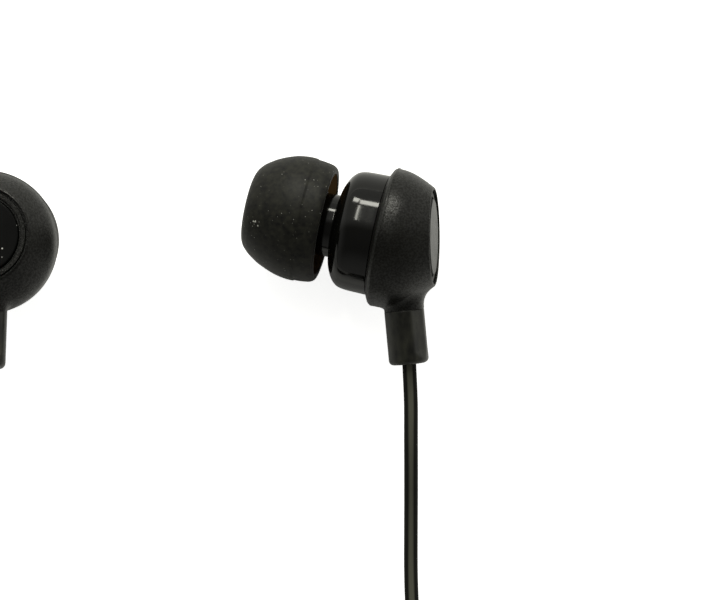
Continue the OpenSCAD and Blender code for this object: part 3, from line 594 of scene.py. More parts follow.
# Two branches run from the earbuds to the splitter, and the main cord from there to the plug.
cordSizes = {
    "branchThick": 1.4, "mainThick": 2.0, "turnGap": 0.46, "coilLift": 0.5,
    "branchCoil": {"radius": 10.9, "turns": 7.25, "layers": 2, "at": (14, -48)},
    "mainCoil": {"radius": 14.4, "turns": 10.75, "layers": 4, "at": (-10, -109)},
    "rightRoute": [(23.03, -13.7, 6.3), (23.05, -17.2, 5.6), (23.07, -20.6, 4.6), (23.08, -23.9, 3.5),
                   (23.08, -27.3, 2.5), (23.09, -30.7, 1.7), (23.2, -34.2, 1.2), (23.5, -38, 1.1),
                   (24.2, -42.2, 1.1)],
    "leftRoute": [(-19.1, -13.5, 19.2), (-19.2, -17, 19.3), (-19.3, -20.4, 18.6),
                  (-19.6, -23.6, 17.1), (-20, -26.5, 15), (-20.7, -29.2, 12.5), (-21.4, -31.7, 9.9),
                  (-22.1, -34.2, 7.4), (-22.8, -36.9, 5.1), (-23.6, -39.8, 3.2), (-24.4, -43, 1.8)],
    "branchRoute": [(12.6, -58.9, 3.05), (9.2, -59.2, 2.6), (6.1, -60.5, 1.9), (3.7, -62.8, 1.3),
                    (2.1, -65.8, 1.1), (1.3, -69.2, 1.3), (1.1, -72.6, 1.8), (1.1, -75, 2)],
    "leadRoute": [(0, -88, 2), (0.3, -92, 1.4), (1.2, -95.8, 1.1), (2.7, -99.4, 1.1),
                  (4, -103, 1.3)],
    "tailRoute": [(-8, -94.6, 8.85), (-4.5, -94, 8.7), (-1, -92.6, 8.3), (2.2, -90.7, 7.6),
                  (5.6, -89, 6.8), (9.2, -88.3, 5.9), (12.3, -89.3, 5), (14.4, -92, 4.3),
                  (15.1, -95.5, 4)],
}


def coilPoints(coil, thick, perTurn=24):
    # A clockwise coil: the reach steps in and out again by a cord and a gap each turn, and the
    # height climbs a layer in the half turn where the reach reverses.
    t = np.arange(round(coil["turns"] * perTurn) + 1) / perTurn
    span, step = coil["turns"] / coil["layers"], thick + cordSizes["turnGap"]
    layer = np.floor(t / span)
    part = t - layer * span
    reach = coil["radius"] - step * np.where(layer % 2 == 0, part, span - part)
    climbs = np.arange(1, coil["layers"])[:, None] * span
    climbed = np.clip(2 * (t - climbs + 0.25), 0, 1).sum(0)
    x = coil["at"][0] + reach * np.cos(2 * math.pi * t)
    y = coil["at"][1] - reach * np.sin(2 * math.pi * t)
    return np.stack([x, y, cordSizes["coilLift"] + thick / 2 + step * climbed], -1)


def addCord(which, kind, line, thick, start=""):
    # A cord as one tube along its smooth line, closed at both ends, in place of three nodes. With
    # it, its line and its length in metres.
    _, far = alongLine(line)
    thick = cordSizes[thick]
    surface = {"points": tube(line, thick / 2), "lids": True, "along": far, "endAlong": far[-1],
               "girth": math.pi * thick}
    piece = addPiece(which + kind + "Cord", [surface], [cordJacket], slot="cord_skin", sharp=60,
                     replaces=[which + "_cord" + part for part in (start, "_coil", "_tail")])
    return piece, line / mmPerMetre, far[-1] / mmPerMetre


exits = {side: placed(onStemAxis(np.array([[0, 0, bud["reliefEnd"]]])), side) for side in lay}
mirrored = np.array([-1, 1, 1])
branchCoil = coilPoints(cordSizes["branchCoil"], cordSizes["branchThick"])
branchTail = np.array(cordSizes["branchRoute"])
rightLine = smoothLine(np.vstack([exits["right"], cordSizes["rightRoute"], branchCoil,
                                  branchTail]), 4)
leftLine = smoothLine(np.vstack([exits["left"], cordSizes["leftRoute"],
                                 branchCoil * mirrored, branchTail * mirrored]), 4)
mainLine = smoothLine(np.vstack([cordSizes["leadRoute"],
                                 coilPoints(cordSizes["mainCoil"], cordSizes["mainThick"]),
                                 cordSizes["tailRoute"]]), 4)
rightCord, rightPath, rightLong = addCord("right", "Branch", rightLine, "branchThick")
leftCord, leftPath, leftLong = addCord("left", "Branch", leftLine, "branchThick")
mainCord, mainPath, mainLong = addCord("main", "", mainLine, "mainThick", "_lead")
print("cords made", round(rightLong, 4), round(leftLong, 4), round(mainLong, 4))

# An ear tip, as radius and height about the nozzle's axis, and how its soft skirt has set
tip = {
    "skirt": [(5.66, -1), (5.84, -1.2), (5.98, -1.5), (6.07, -2), (6.13, -2.5), (6.16, -2.98)],
    "dome": [(6.23, -3.1), (6.25, -3.5), (6.22, -4.1), (6.07, -5), (5.78, -5.9), (5.4, -6.8),
             (5.06, -7.4), (4.65, -8), (4.36, -8.32), (3.98, -8.65), (3.5, -8.88), (3, -8.98),
             (2.5, -9)],
    "bore": 2.1, "boreEnd": -7.0, "sleeveBore": 2.8, "sleeveRim": -1.5, "sleeve": 3.35,
    "boreEdges": [0, 0.15, 0.05, 0.05, 0.08, 0.15, 0],
    "lining": [(3.35, -6.1), (4.7, -6.35), (5.4, -4.95)],
    "skirtInside": [(5.4, -4.95), (5.62, -3.9), (5.53, -2.5)],
    "rimInside": (5.12, -1.01), "rimEdge": 0.1, "columns": 144,
    "sag": {"right": (0, 0, 0.13), "left": (-0.4, -0.4, 0)},  # x, y, and y at the dome
    "softFrom": (3.0, 4.5), "domeFrom": (1, 6.5),   # the radius and the depth where these grow
    "rest": 0.02,   # the least height above the table, where a soft tip flattens
}


def smoothStep(low, high, value):
    # 0 below low, 1 above high, and 3t^2 - 2t^3 between them.
    t = np.clip((value - low) / (high - low), 0, 1)
    return t * t * (3 - 2 * t)


def tipGrid(side):
    # The tip's outline turned about its axis, with a small step at its mould line. Its soft outer
    # part is then pushed aside, and the dome a little further. The lining's rows come with it.
    outside = outline(smoothLine(tip["skirt"], 4), smoothLine(tip["dome"], 4))
    bore, sleeve = tip["bore"], tip["sleeveBore"]
    inside = rounded([outside[-1], (bore, outside[-1, 1]), (bore, tip["boreEnd"]),
                      (sleeve, tip["boreEnd"]), (sleeve, tip["sleeveRim"]),
                      (tip["sleeve"], tip["sleeveRim"]), tip["lining"][0]], tip["boreEdges"])
    lining = outline(bend(*tip["lining"]), bend(*tip["skirtInside"]))
    rim = rounded([lining[-1], tip["rimInside"], outside[0], outside[1]], tip["rimEdge"], 4)[1:-1]
    profile = outline(outside[1:], inside, lining, rim)
    grid = lathe(profile, tip["columns"])
    moved = smoothStep(*tip["softFrom"], profile[:, 0])
    x, y, dome = tip["sag"][side]
    grid[..., 0] += (moved * x)[:, None]
    grid[..., 1] += (moved * (y + dome * smoothStep(*tip["domeFrom"], -profile[:, 1])))[:, None]
    liningStart = len(outside) - 1 + len(inside)
    return grid, (liningStart, len(profile) - len(rim) + 1)


for side in lay:
    grid, liningRows = tipGrid(side)
    points = placed(grid, side)
    points[..., 2] = np.maximum(points[..., 2], tip["rest"])
    addPiece(side + "EarTip", [{"points": points, "ring": True, "second": liningRows}],
             [tipSilicone, tipLiningPaintedGlow], body=side + "_tip", slot="silicone_black",
             replaces=[side + "_ear_tip"], sharp=40)

# A front housing, as radius and height: the nozzle, the shoulder, and back through the inside
housing = {
    "nozzle": [(2.05, -6.85), (2.37, -6.85), (2.75, -6.35), (2.75, -5.95), (2.45, -5.85),
               (2.45, -1.45), (3.15, -1.45), (3.15, 0.06), (3.5, 0.06)],
    "nozzleEdges": [0, 0.05, 0.08, 0.06, 0.04, 0.05, 0.14, 0.1, 0],
    "shoulder": [(3.5, 0.06), (3.95, 0.14), (4.35, 0.26), (4.78, 0.45), (5.15, 0.66), (5.45, 0.89),
                 (5.68, 1.14), (5.84, 1.42), (5.93, 1.72), (5.985, 2.05), (6.02, 2.45), (6.04, 2.95),
                 (6.055, 3.6), (6.07, 4.2)],
    "rear": [(6.07, 4.2), (6.07, 4.45), (5.87, 4.45), (5.87, 5.75), (5.02, 5.75), (5.02, 1.23),
             (4.42, 1.23), (4.42, 0.78), (2.15, 0.78), (1.75, 0.38), (1.75, -6.5), (2.05, -6.5)],
    "rearEdges": [0, 0.07, 0.03, 0.05, 0.05, 0.03, 0.03, 0.03, 0.05, 0.05, 0.03, 0],
    "columns": 160,
}
profile = outline(rounded(housing["nozzle"], housing["nozzleEdges"], 4),
                  smoothLine(housing["shoulder"], 3), rounded(housing["rear"], housing["rearEdges"]))
addPair("FrontHousing", [{"points": lathe(profile, housing["columns"]), "ring": True}], housingAbs,
        "gloss_housing", "_front_housing")
print("ear tips and housings made")

# A rear cap: a round side, a tilted dome with a recess in its face, and a boss for the cord
cap = {
    "columns": 176, "rows": 44, "radius": 7.04, "rise": 4.95, "crease": 0.22,
    "cavity": 5.92, "cavityFrom": 5.2, "cavityCrease": 0.1, "cavityRows": 14, "roof": (0, 2.5, 4.7),
    "cavityDome": [(4.75, 3.4), (5.4, 2.55), (5.9, 1.15), (8, -3.25)],
    "edge": [(5.92, 4.5), (6.25, 4.5), (6.85, 4.8), (7.04, 5.08), (7.04, 5.3)],
    "edgeRounds": [0, 0.07, 0.1, 0.06, 0],
    "domeStart": [(4.75, 0), (4.98, -0.08)], "dome": [(5.1, -0.25), (6.54, -2), (7.04, -3.55)],
    "domeEnd": (8.54, -8.2),
    "lip": [(4.98, -0.08), (4.86, 0), (4.72, 0), (4.72, -0.5), (4.5, -0.5), (4.5, -0.25),
            (4.05, -0.25), (4.05, -0.5), (3.83, -0.5), (3.83, -0.95), (1.5, -0.95), (0, -0.95)],
    "lipRounds": [0, 0.06, 0.06, 0.04, 0.04, 0.06, 0.06, 0.04, 0.04, 0.04, 0, 0],
    "bossColumns": 112, "bossEnd": 7.07, "bossStart": 4.6, "bossBore": 1.1, "bossInside": 1.6,
    "bossEdge": [(0, 0.1), (0, 0.05), (0.015, 0.015), (0.05, 0), (0.1, 0)],   # in, and down
    "fillet": 0.8, "filletLean": 0.2, "filletTop": 0.75, "topLean": 0.45, "topGap": 0.14,
    "footSink": 0.6, "search": (3.0, 6.0),   # the skin is sought from this height, so far
}
stem = {"shift": 0.45, "radius": 1.95, "turnsOver": 6}


def depthInCap(points, radius, dome, crease):
    # How far outside the cap's skin a point lies: the larger of its distance past the round
    # side and past the tilted dome, with the crease between them rounded.
    tilted = (points - np.array([0, 0, bud["rimZ"]])) @ turn("x", -bud["capTilt"])
    edge = np.interp(tilted[..., 2], dome[::-1, 1], dome[::-1, 0])
    a = np.hypot(points[..., 0], points[..., 1]) - radius
    b = np.hypot(tilted[..., 0], tilted[..., 1]) - edge
    return (a + b + np.sqrt((a - b) ** 2 + crease ** 2)) / 2


def reachSkin(start, way, outside, far=14.0):
    # How far along each way a skin lies, found by halving the range 40 times.
    low = np.zeros(np.broadcast(start, way).shape[:-1])
    high = low + far
    for _ in range(40):
        middle = (low + high) / 2
        isOut = outside(start + middle[..., None] * way) > 0
        low, high = np.where(isOut, low, middle), np.where(isOut, middle, high)
    return low


def domeSkin(radius, dome, crease, first, last, rows):
    # Rays from the middle of the rim, turned evenly from the first ring's to the last ring's
    # directions, out to the skin.
    centre = np.array([0, 0, bud["rimZ"]])
    a, b = ((ring - centre) / np.linalg.norm(ring - centre, axis=-1)[..., None]
            for ring in (first, last))
    angle = np.arccos(np.clip((a * b).sum(-1), -1, 1))[None, :, None]
    t = np.linspace(0, 1, rows)[:, None, None]
    way = (np.sin((1 - t) * angle) * a + np.sin(t * angle) * b) / np.sin(angle)
    reach = reachSkin(centre, way, lambda p: depthInCap(p, radius, dome, crease))
    return centre + reach[..., None] * way


def capDome():
    # The dome's outline from its lip down: a curve, then a straight flare.
    rise = np.array([0, cap["rise"]])
    return outline(cap["domeStart"] + rise, bend(*cap["dome"], 24) + rise, cap["domeEnd"] + rise)


def capShell():
    # One closed shell: the cavity's roof and side, the front edge, the outer skin, the lip, the
    # raised ring and the pocket's floor, all on the same columns.
    columns, dome = cap["columns"], capDome()
    lip = rounded(np.array(cap["lip"]) + [0, cap["rise"]], cap["lipRounds"])
    front = rounded(cap["edge"], cap["edgeRounds"], 4)
    recess, edge = onCapAxis(lathe(lip, columns)), lathe(front[:-1], columns)
    skin = domeSkin(cap["radius"], dome, cap["crease"], edge[-1], recess[0], cap["rows"])
    inner = np.array(cap["cavityDome"])
    roof = onCapAxis(lathe(np.array([(r, inner[0, 1]) for r in cap["roof"]]), columns))
    foot = lathe(np.array([[cap["cavity"], cap["cavityFrom"]]]), columns)[0]
    side = domeSkin(cap["cavity"], inner, cap["cavityCrease"], foot, roof[-1], cap["cavityRows"])
    return np.vstack([roof, side[-2::-1], edge, skin[1:-1], recess])


def stemSection(columns):
    # The stem's oval: a circle pulled apart along x. With it, the way out at each column.
    a = np.linspace(0, 2 * math.pi, columns, endpoint=False)
    out = np.stack([np.cos(a), np.sin(a)], -1)
    oval = stem["radius"] * out
    oval[:, 0] += stem["shift"] * np.clip(stem["turnsOver"] * out[:, 0], -1, 1)
    return a, oval, out


def ringAt(flat, height):
    # A flat outline at one height, or at a height for each column.
    return np.column_stack([flat, np.broadcast_to(height, len(flat))])


def capBoss():
    # The boss round the cord's way out: its oval side blends into the cap's skin by a curve from
    # a point on the skin, through where the side would meet it, to the side.
    a, oval, out = stemSection(cap["bossColumns"])
    dome = capDome()
    start, span = cap["search"]

    def skinBelow(flat):
        down = onStemAxis(ringAt(flat, start))
        way = onStemAxis(ringAt(flat, start + 1)) - down
        return start + reachSkin(down, way, lambda p: depthInCap(p, cap["radius"], dome,
                                                                 cap["crease"]), span)

    wide = oval + out * (cap["fillet"] + cap["filletLean"] * np.sin(a))[:, None]
    meet, spread, end = skinBelow(oval), skinBelow(wide), cap["bossEnd"]
    top = np.minimum(meet + cap["filletTop"] + cap["topLean"] * np.sin(a), end - cap["topGap"])
    blend = bend(ringAt(wide, spread), ringAt(oval, meet), ringAt(oval, top), 9)
    edge = [ringAt(oval - inward * out, end - down) for inward, down in cap["bossEdge"]]
    bore = cap["bossBore"] * out
    return np.stack([ringAt(cap["bossInside"] * out, cap["bossStart"]),
                     ringAt(wide, spread - cap["footSink"]), *blend, *edge, ringAt(bore, end),
                     ringAt(bore, cap["bossStart"])])


addPair("RearCap", [{"points": capShell()}, {"points": onStemAxis(capBoss()), "ring": True}],
        capAbs, "matte_cap", "_rear_cap")

# The disc in the recess of the cap's face
disc = {"radius": 3.78, "thick": 0.8, "sink": 0.05, "crown": 0.02, "edge": 0.14, "lowEdge": 0.04,
        "columns": 144}
top, r = cap["rise"] - disc["sink"], disc["radius"]
profile = rounded([(0, top - disc["thick"]), (r, top - disc["thick"]), (r, top),
                   (0, top + disc["crown"])], [0, disc["lowEdge"], disc["edge"], 0], 5)
addPair("Disc", [{"points": onCapAxis(lathe(profile, disc["columns"]))}], discAcrylic,
        "badge_gloss", "_badge_disc", sharp=50)

# The strain relief on the cap's boss
relief = {
    "start": 7.07, "end": 12.47, "bore": 0.72, "neck": 1.05, "flange": 1.35, "flangeEnds": (3.8, 4.5),
    "flatTurn": 34, "flatAt": 1.972, "flatWide": 0.3, "flatFade": (11.0, 12.3), "fadeOut": 0.35,
    "blend": 0.05, "proud": 0.003, "round": 0.5, "roundIn": 0.45, "foot": 0.04, "columns": 144,
    "rows": 30, "roundRows": 8,
}


def reliefGrid():
    # The moulded grip: the stem's oval, cut by two flats that fade out near its end, and a round
    # lower edge; then its bore, and the neck and flange inside the cap. Where the oval and a flat
    # meet, the smaller one counts: half of their sum less the root of their difference squared
    # plus the blend squared.
    _, oval, out = stemSection(relief["columns"])
    start, end, far = relief["start"], relief["end"], 9.0
    straight = end - relief["round"]
    arc = np.sin(np.linspace(0.15, 1, relief["roundRows"]) * math.pi / 2)
    heights = np.concatenate([[start, start + 0.05],
                              np.linspace(start + 0.12, straight, relief["rows"]),
                              straight + relief["round"] * arc])
    turned = np.arctan2(oval[:, 1], oval[:, 0])
    flatAt = relief["flatAt"] + relief["fadeOut"] * smoothStep(*relief["flatFade"], heights)[:, None]
    size = np.hypot(oval[:, 0], oval[:, 1])
    for middle in (90 - relief["flatTurn"], 90 + relief["flatTurn"]):
        facing = np.cos(turned - math.radians(middle))
        flat = np.where(facing > relief["flatWide"],
                        flatAt / np.maximum(facing, relief["flatWide"]), far)
        size = (size + flat - np.hypot(size - flat, relief["blend"])) / 2 + relief["proud"]
    t = np.clip((heights - straight) / relief["round"], 0, 1)[:, None]
    size = size - relief["roundIn"] * (1 - np.sqrt(1 - t * t))
    size[0] -= relief["foot"]
    flats = np.stack([np.cos(turned), np.sin(turned)], -1) * size[..., None]
    rows = [ringAt(flat, h) for flat, h in zip(flats, heights)]
    low, high = relief["flangeEnds"]
    for r, h in ((relief["bore"], end), (relief["bore"], low), (relief["flange"], low),
                 (relief["flange"], high), (relief["neck"], high), (relief["neck"], start)):
        rows.append(ringAt(r * out, h))
    return np.stack(rows)


addPair("StrainRelief", [{"points": onStemAxis(reliefGrid()), "ring": True}], reliefRubber,
        "strain_rubber", "_strain_relief")
print("caps, discs and strain reliefs made")

# A tie round each coil, with its ends twisted together
tie = {
    "section": [(-1.5, 0.12), (-1.45, 0.22), (-0.4, 0.22), (-0.25, 0.34), (0, 0.4), (0.25, 0.34),
                (0.4, 0.22), (1.45, 0.22), (1.5, 0.12)],   # across the ribbon, and outwards
    "inside": 0.02, "gap": 0.2, "corner": 0.55,
    "tail": (-0.7, 8.0), "tailTurns": 1.5, "tailLift": 1.5, "tailHalf": (1.25, 0.42), "pinch": 0.5,
    "branch": {"at": (14, -48), "turn": 150, "ends": (3.3, 11.7), "height": 3.76},
    "main": {"at": (-10, -109), "turn": 250, "ends": (6.55, 15.5), "height": 9.88},
}


def tieSurfaces(which):
    # A ribbon with a wire down its middle, round the bundle in a rounded rectangle, and its two
    # ends twisted together: a pinched oval section that turns steadily along the tail.
    t = tie[which]
    across, lift = np.array(tie["section"]).T
    inner, outer = t["ends"]
    inner = math.sqrt(inner ** 2 - across[0] ** 2)
    gap, base = tie["gap"], cordSizes["coilLift"]
    halfX, halfZ = (outer - inner) / 2, (t["height"] - base + gap) / 2
    middle = np.array([(outer + inner) / 2, 0, base - gap / 2 + halfZ])
    corners = np.array([(halfX, 0), (halfX, halfZ), (-halfX, halfZ), (-halfX, -halfZ),
                        (halfX, -halfZ), (halfX, 0)])
    loop = rounded(corners, tie["corner"], 6)[:-1]
    way = np.roll(loop, -1, 0) - np.roll(loop, 1, 0)
    way /= np.linalg.norm(way, axis=1)[:, None]
    outward = np.stack([way[:, 1], -way[:, 0]], -1)
    lift = np.append(lift, np.full(len(lift), tie["inside"]))
    across = np.append(across, across[::-1])
    band = np.empty((len(loop), len(across), 3))
    band[..., 0] = loop[:, 0, None] + outward[:, 0, None] * lift
    band[..., 2] = loop[:, 1, None] + outward[:, 1, None] * lift
    band[..., 1] = across
    far = np.linspace(*tie["tail"], 60)[:, None]
    a = np.linspace(0, 2 * math.pi, 20, endpoint=False)
    spin = 2 * math.pi * tie["tailTurns"] * far / tie["tail"][1]
    wide, thin = tie["tailHalf"]
    flatY, flatX = wide * np.cos(a), thin * np.sin(a) * (wide - tie["pinch"] * np.abs(np.sin(a)))
    tail = np.stack([far + 0 * a, flatY * np.cos(spin) - flatX * np.sin(spin),
                     flatY * np.sin(spin) + flatX * np.cos(spin)], -1)
    tail[..., 2] += halfZ + tie["tailLift"]
    spun = turn("z", t["turn"]).T
    at = np.array([*t["at"], 0])
    return [{"points": (band + middle) @ spun + at, "ring": True},
            {"points": (tail + middle) @ spun + at, "lids": True}]


ties = []
for name, which, flip in (("right", "branch", 1), ("left", "branch", mirrored), ("main", "main", 1)):
    surfaces = [{**s, "points": s["points"] * flip} for s in tieSurfaces(which)]
    ties.append(addPiece(name + "Tie", surfaces, [tiePvc], slot="tie_plastic",
                         replaces=[name + "_tie"]))
rightTie, leftTie, mainTie = ties

# The splitter: its sizes where it starts, at its fullest and where it ends
splitter = {
    "at": (0, -75, 2), "length": 13.0, "wide": (4.8, 5.6, 3.2), "thick": (3.2, 4.0, 3.0),
    "taperFrom": 3.5, "startRound": 0.5, "endRound": 0.2, "endIn": 0.25, "flatten": 3,
    "grooves": (8.6, 9.8, 11.0), "grooveDeep": 0.22, "grooveWide": 0.3, "columns": 64,
}


def splitterGrid():
    # Ovals along the splitter: a round shoulder where the branches enter, a straight taper to
    # the main cord, and three shallow grooves that let that end flex.
    long, taperFrom, shoulder = splitter["length"], splitter["taperFrom"], splitter["startRound"]
    far = np.unique(np.concatenate([shoulder * np.sin(np.linspace(0, 1, 7) * math.pi / 2),
                                    np.linspace(shoulder, taperFrom, 6),
                                    np.linspace(taperFrom, long - 0.3, 62),
                                    [long - 0.15, long - 0.05, long]]))
    start, full, end = np.array([splitter["wide"], splitter["thick"]]).T
    swell = np.sqrt(1 - np.clip(1 - far / shoulder, 0, 1) ** 2)[:, None]
    taper = np.clip((far - taperFrom) / (long - taperFrom), 0, 1)[:, None]
    size = (start + (full - start) * swell) * (1 - taper) + end * taper
    cut = sum(np.exp(-((far - g) / splitter["grooveWide"]) ** 2) for g in splitter["grooves"])
    size -= 2 * splitter["grooveDeep"] * cut[:, None]
    size -= splitter["endIn"] * np.clip((far - long) / splitter["endRound"] + 1, 0, 1)[:, None]
    a = np.linspace(0, 2 * math.pi, splitter["columns"], endpoint=False)
    wide, thick = size[:, :1] / 2, size[:, 1:] / 2
    x = (wide - thick) * np.clip(splitter["flatten"] * np.cos(a), -1, 1) + thick * np.cos(a)
    grid = np.stack([x, np.broadcast_to(-far[:, None], x.shape), thick * np.sin(a)], -1)
    return grid + np.array(splitter["at"])


ySplitter = addPiece("ySplitter", [{"points": splitterGrid(), "lids": True}], [reliefRubber],
                     slot="strain_rubber", replaces=["y_splitter"])

# The plug along its axis: a ribbed relief, a fluted grip and the jack with its contacts
plug = {
    "at": (15.1, -95.5, 4), "columns": 96,
    "reliefStart": 1.5, "reliefLong": 8.0, "ribs": 3, "grow": 0.3, "plain": 1.0,
    "groove": (0.3, 0.15, 0.7, 0.85),   # its depth, and its corners along the axis
    "gripRadius": 4.0, "gripLong": 17.0, "nose": 1.2, "socket": 1.45, "waistDeep": 0.25,
    "waist": (3, 3.6, 3, 2.4),   # its corners, two from the front end and two from the back
    "gripEdges": [0, 0.3, 0.3, 0.3, 0.3, 0.45, 0.05, 0.05, 0], "gripColumns": 208,
    "flutes": 26, "fluteDeep": 0.13, "fluteEnds": (3.4, 4.6, 4, 2.8), "fluteStep": 0.5,
    "fluteInside": 3.5,   # the radius that all flutes stay outside of
    "jackRadius": 1.75, "jackEdge": 0.04, "insulatorIn": 0.015, "root": 5.0, "rootRadius": 1.43,
    "contacts": [("jackSleeve", "jack_sleeve", 5.9), ("jackRearRing", "jack_rear_insulator", 0.6),
                 ("jackRing", "jack_ring", 2.2), ("jackFrontRing", "jack_front_insulator", 0.6)],
    "tip": [(0, 0), (1.75, 0), (1.75, 0.4), (1.2, 1.1), (1.2, 1.5), (1.55, 2.2), (1.55, 2.6),
            (0.85, 4.3), (0.45, 4.62), (0, 4.7)],
    "tipEdges": [0, 0.04, 0.08, 0.12, 0.12, 0.15, 0.15, 0.2, 0.15, 0],
}


def onPlug(points):
    # Points about the plug's axis, whose +z runs out to the tip of the jack, along -y.
    return points @ turn("x", 90).T + np.array(plug["at"])


def plugRelief():
    # Ribs that grow towards the grip, with grooves between them, turned about the cord.
    start, long, grow, plain = (plug[k] for k in ("reliefStart", "reliefLong", "grow", "plain"))
    deep, *across = plug["groove"]
    corners = [(0, 0), (start, 0)]
    for i in range(plug["ribs"]):
        r, z = start + grow * i, plain + i * (long - 2 * plain) / plug["ribs"]
        corners += [(r, z), (r - deep, z + across[0]), (r - deep, z + across[1]),
                    (r + grow, z + across[2])]
    corners += [(start + grow * plug["ribs"] + 0.1, long), (0, long)]
    return rounded(corners, [0, 0.1] + [0.06] * (len(corners) - 4) + [0.02, 0])


def gripGrid():
    # The grip's outline turned about its axis, less shallow flutes along its waist: their depth
    # goes as half of one plus the cosine of their count times the angle.
    r, long, nose, socket = (plug[k] for k in ("gripRadius", "gripLong", "nose", "socket"))
    start, full, back, last = plug["waist"]
    low, root = r - plug["waistDeep"], long - plug["root"]
    waist = rounded([(r, nose), (r, start), (low, full), (low, long - back), (r, long - last),
                     (r, long), (socket, long), (socket, root), (0, root)], plug["gripEdges"], 5)
    profile = outline((0, 0), (r - nose - 0.2, 0), bend((r - nose, 0), (r, 0), (r, nose)), waist)
    parts = [profile[:1]]
    for a, b in zip(profile, profile[1:]):
        count = 1
        if min(a[0], b[0]) > plug["fluteInside"]:
            count = max(1, int(np.linalg.norm(b - a) / plug["fluteStep"]))
        parts.append(a + (b - a) * np.linspace(0, 1, count + 1)[1:, None])
    profile = np.vstack(parts)
    grid = lathe(profile, plug["gripColumns"])
    a = np.linspace(0, 2 * math.pi, plug["gripColumns"], endpoint=False)
    start, full, back, last = plug["fluteEnds"]
    fade = smoothStep(start, full, profile[:, 1]) * (profile[:, 0] > plug["fluteInside"])
    fade = fade * (1 - smoothStep(long - back, long - last, profile[:, 1]))
    cut = plug["fluteDeep"] * (0.5 + 0.5 * np.cos(plug["flutes"] * a)) * fade[:, None]
    grid[..., :2] -= cut[..., None] * np.stack([np.cos(a), np.sin(a)], -1)
    return grid


gripStart = np.array([0, 0, plug["reliefLong"]])
reliefPiece = addPiece("plugRelief", [{"points": onPlug(lathe(plugRelief(), plug["columns"]))}],
                       [gripRubber], slot="strain_rubber", replaces=["plug_relief"])
gripPiece = addPiece("plugGrip", [{"points": onPlug(gripGrid() + gripStart)}], [gripRubber],
                     slot="grip_plastic", replaces=["plug_grip"])
level, jackPieces = plug["reliefLong"] + plug["gripLong"], []
for name, node, long in plug["contacts"]:
    isMetal = not node.endswith("insulator")
    r = plug["jackRadius"] - (0 if isMetal else plug["insulatorIn"])
    corners = [(0, level), (r, level), (r, level + long), (0, level + long)]
    if name == "jackSleeve":   # goes on into the grip as a thinner root
        root, thin = level - plug["root"], plug["rootRadius"]
        corners = [(0, root), (thin, root), (thin, level), *corners[1:]]
    points = onPlug(lathe(rounded(corners, plug["jackEdge"]), plug["columns"]))
    jackPieces.append(addPiece(name, [{"points": points}], [goldPlate if isMetal else ringPlastic],
                               slot="contact_gold" if isMetal else "insulator_black",
                               replaces=[node]))
    level += long
points = onPlug(lathe(rounded(plug["tip"], plug["tipEdges"], 4) + [0, level], plug["columns"]))
jackPieces.append(addPiece("jackTip", [{"points": points}], [goldPlate], slot="contact_gold",
                           replaces=["jack_tip"]))
print("ties, splitter and plug made")

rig.cord(rightCord, exit=rightPath[0], length=rightLong, diameter=0.0014, far_end="fitting",
        stiffness="limp", lay="coiled", path=rightPath, with_pieces=[ySplitter, rightTie])
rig.cord(leftCord, exit=leftPath[0], length=leftLong, diameter=0.0014, far_end="fitting",
        stiffness="limp", lay="coiled", path=leftPath, with_pieces=[leftTie])
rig.cord(mainCord, exit=mainPath[0], length=mainLong, diameter=0.002, far_end="plug",
        stiffness="limp", lay="coiled", path=mainPath,
        with_pieces=[mainTie, reliefPiece, gripPiece, *jackPieces])

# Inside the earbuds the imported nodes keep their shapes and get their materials.
insideMaterials = {
    "nozzle_mesh": metal("stainless_woven_mesh", "#8f8f8c", "#a9a9a6", rough=0.3),
    "nozzle_damper": fibrous("polyester_felt_white", "#c9c7be", "#dedcd4", cell=0.09),
    "driver_gasket": fibrous("pu_foam_black", "#1e1e1e", "#2a2a2a", cell=0.12),
    "driver_cover": metal("stamped_steel", "#9a9a98", "#b2b2b0", rough=0.32),
    "driver_frame": sparkEroded("pbt_moulded_black", "#1c1c1d", "#242425", rough=0.5, grain=0.2,
                                depth=0.02),
    "diaphragm": clearFilm("pet_film_formed", "#b9ad8c", "#cdc3a6"),
    "voice_coil": metal("copper_winding", "#a9622f", "#c47c45", rough=0.35, cell=0.08),
    "top_plate": metal("zinc_plated_steel", "#9d9fa3", "#b4b6ba", rough=0.28),
    "magnet": metal("nickel_plated_magnet", "#b3b1aa", "#c9c7c0", rough=0.14),
    "yoke": metal("zinc_plated_yoke", "#95979b", "#adafb3", rough=0.3),
    "damping_ring": fibrous("porous_paper", "#cfcbbd", "#dedbcf", cell=0.1),
    "terminal_board": polishedAbs("fr4_green_lacquer", "#134a25", "#1a5c2f", rough=0.22),
    "lead_wires": metal("enamelled_copper", "#8c3a1c", "#a54a26", rough=0.25),
    "cord_end": cordJacket,
}
for name, node in frame["nodes"].items():
    material = insideMaterials.get(name.split("_", 1)[1])
    if material:
        node.data.materials.clear()
        node.data.materials.append(material)
print("inside materials set")

# The table: evenly white to the camera, with the object's shadow on it
stage = {"wide": 6.0, "drop": 0.00004, "floorShade": "#f2f2f2", "floorGlow": 0.8, "mirrorGlow": 0.02}
floorMaterial = bpy.data.materials.new("table_painted_white")     # a matt painted table
floorMaterial.use_nodes = True
tree = floorMaterial.node_tree
tree.nodes.clear()
paint = addNode(tree, "BsdfDiffuse", {"Color": colour(stage["floorShade"])})
rays = addNode(tree, "LightPath")
seen = addNode(tree, "Math", {"operation": "MULTIPLY", 1: stage["floorGlow"]},
               {0: rays.outputs["Is Camera Ray"]})
bounced = addNode(tree, "Math", {"operation": "MAXIMUM"},
                  {0: rays.outputs["Is Glossy Ray"], 1: rays.outputs["Is Transmission Ray"]})
shown = addNode(tree, "Math", {"operation": "MULTIPLY_ADD", 1: stage["mirrorGlow"]},
                {0: bounced, 2: seen})
glow = addNode(tree, "Emission", {}, {"Strength": shown})
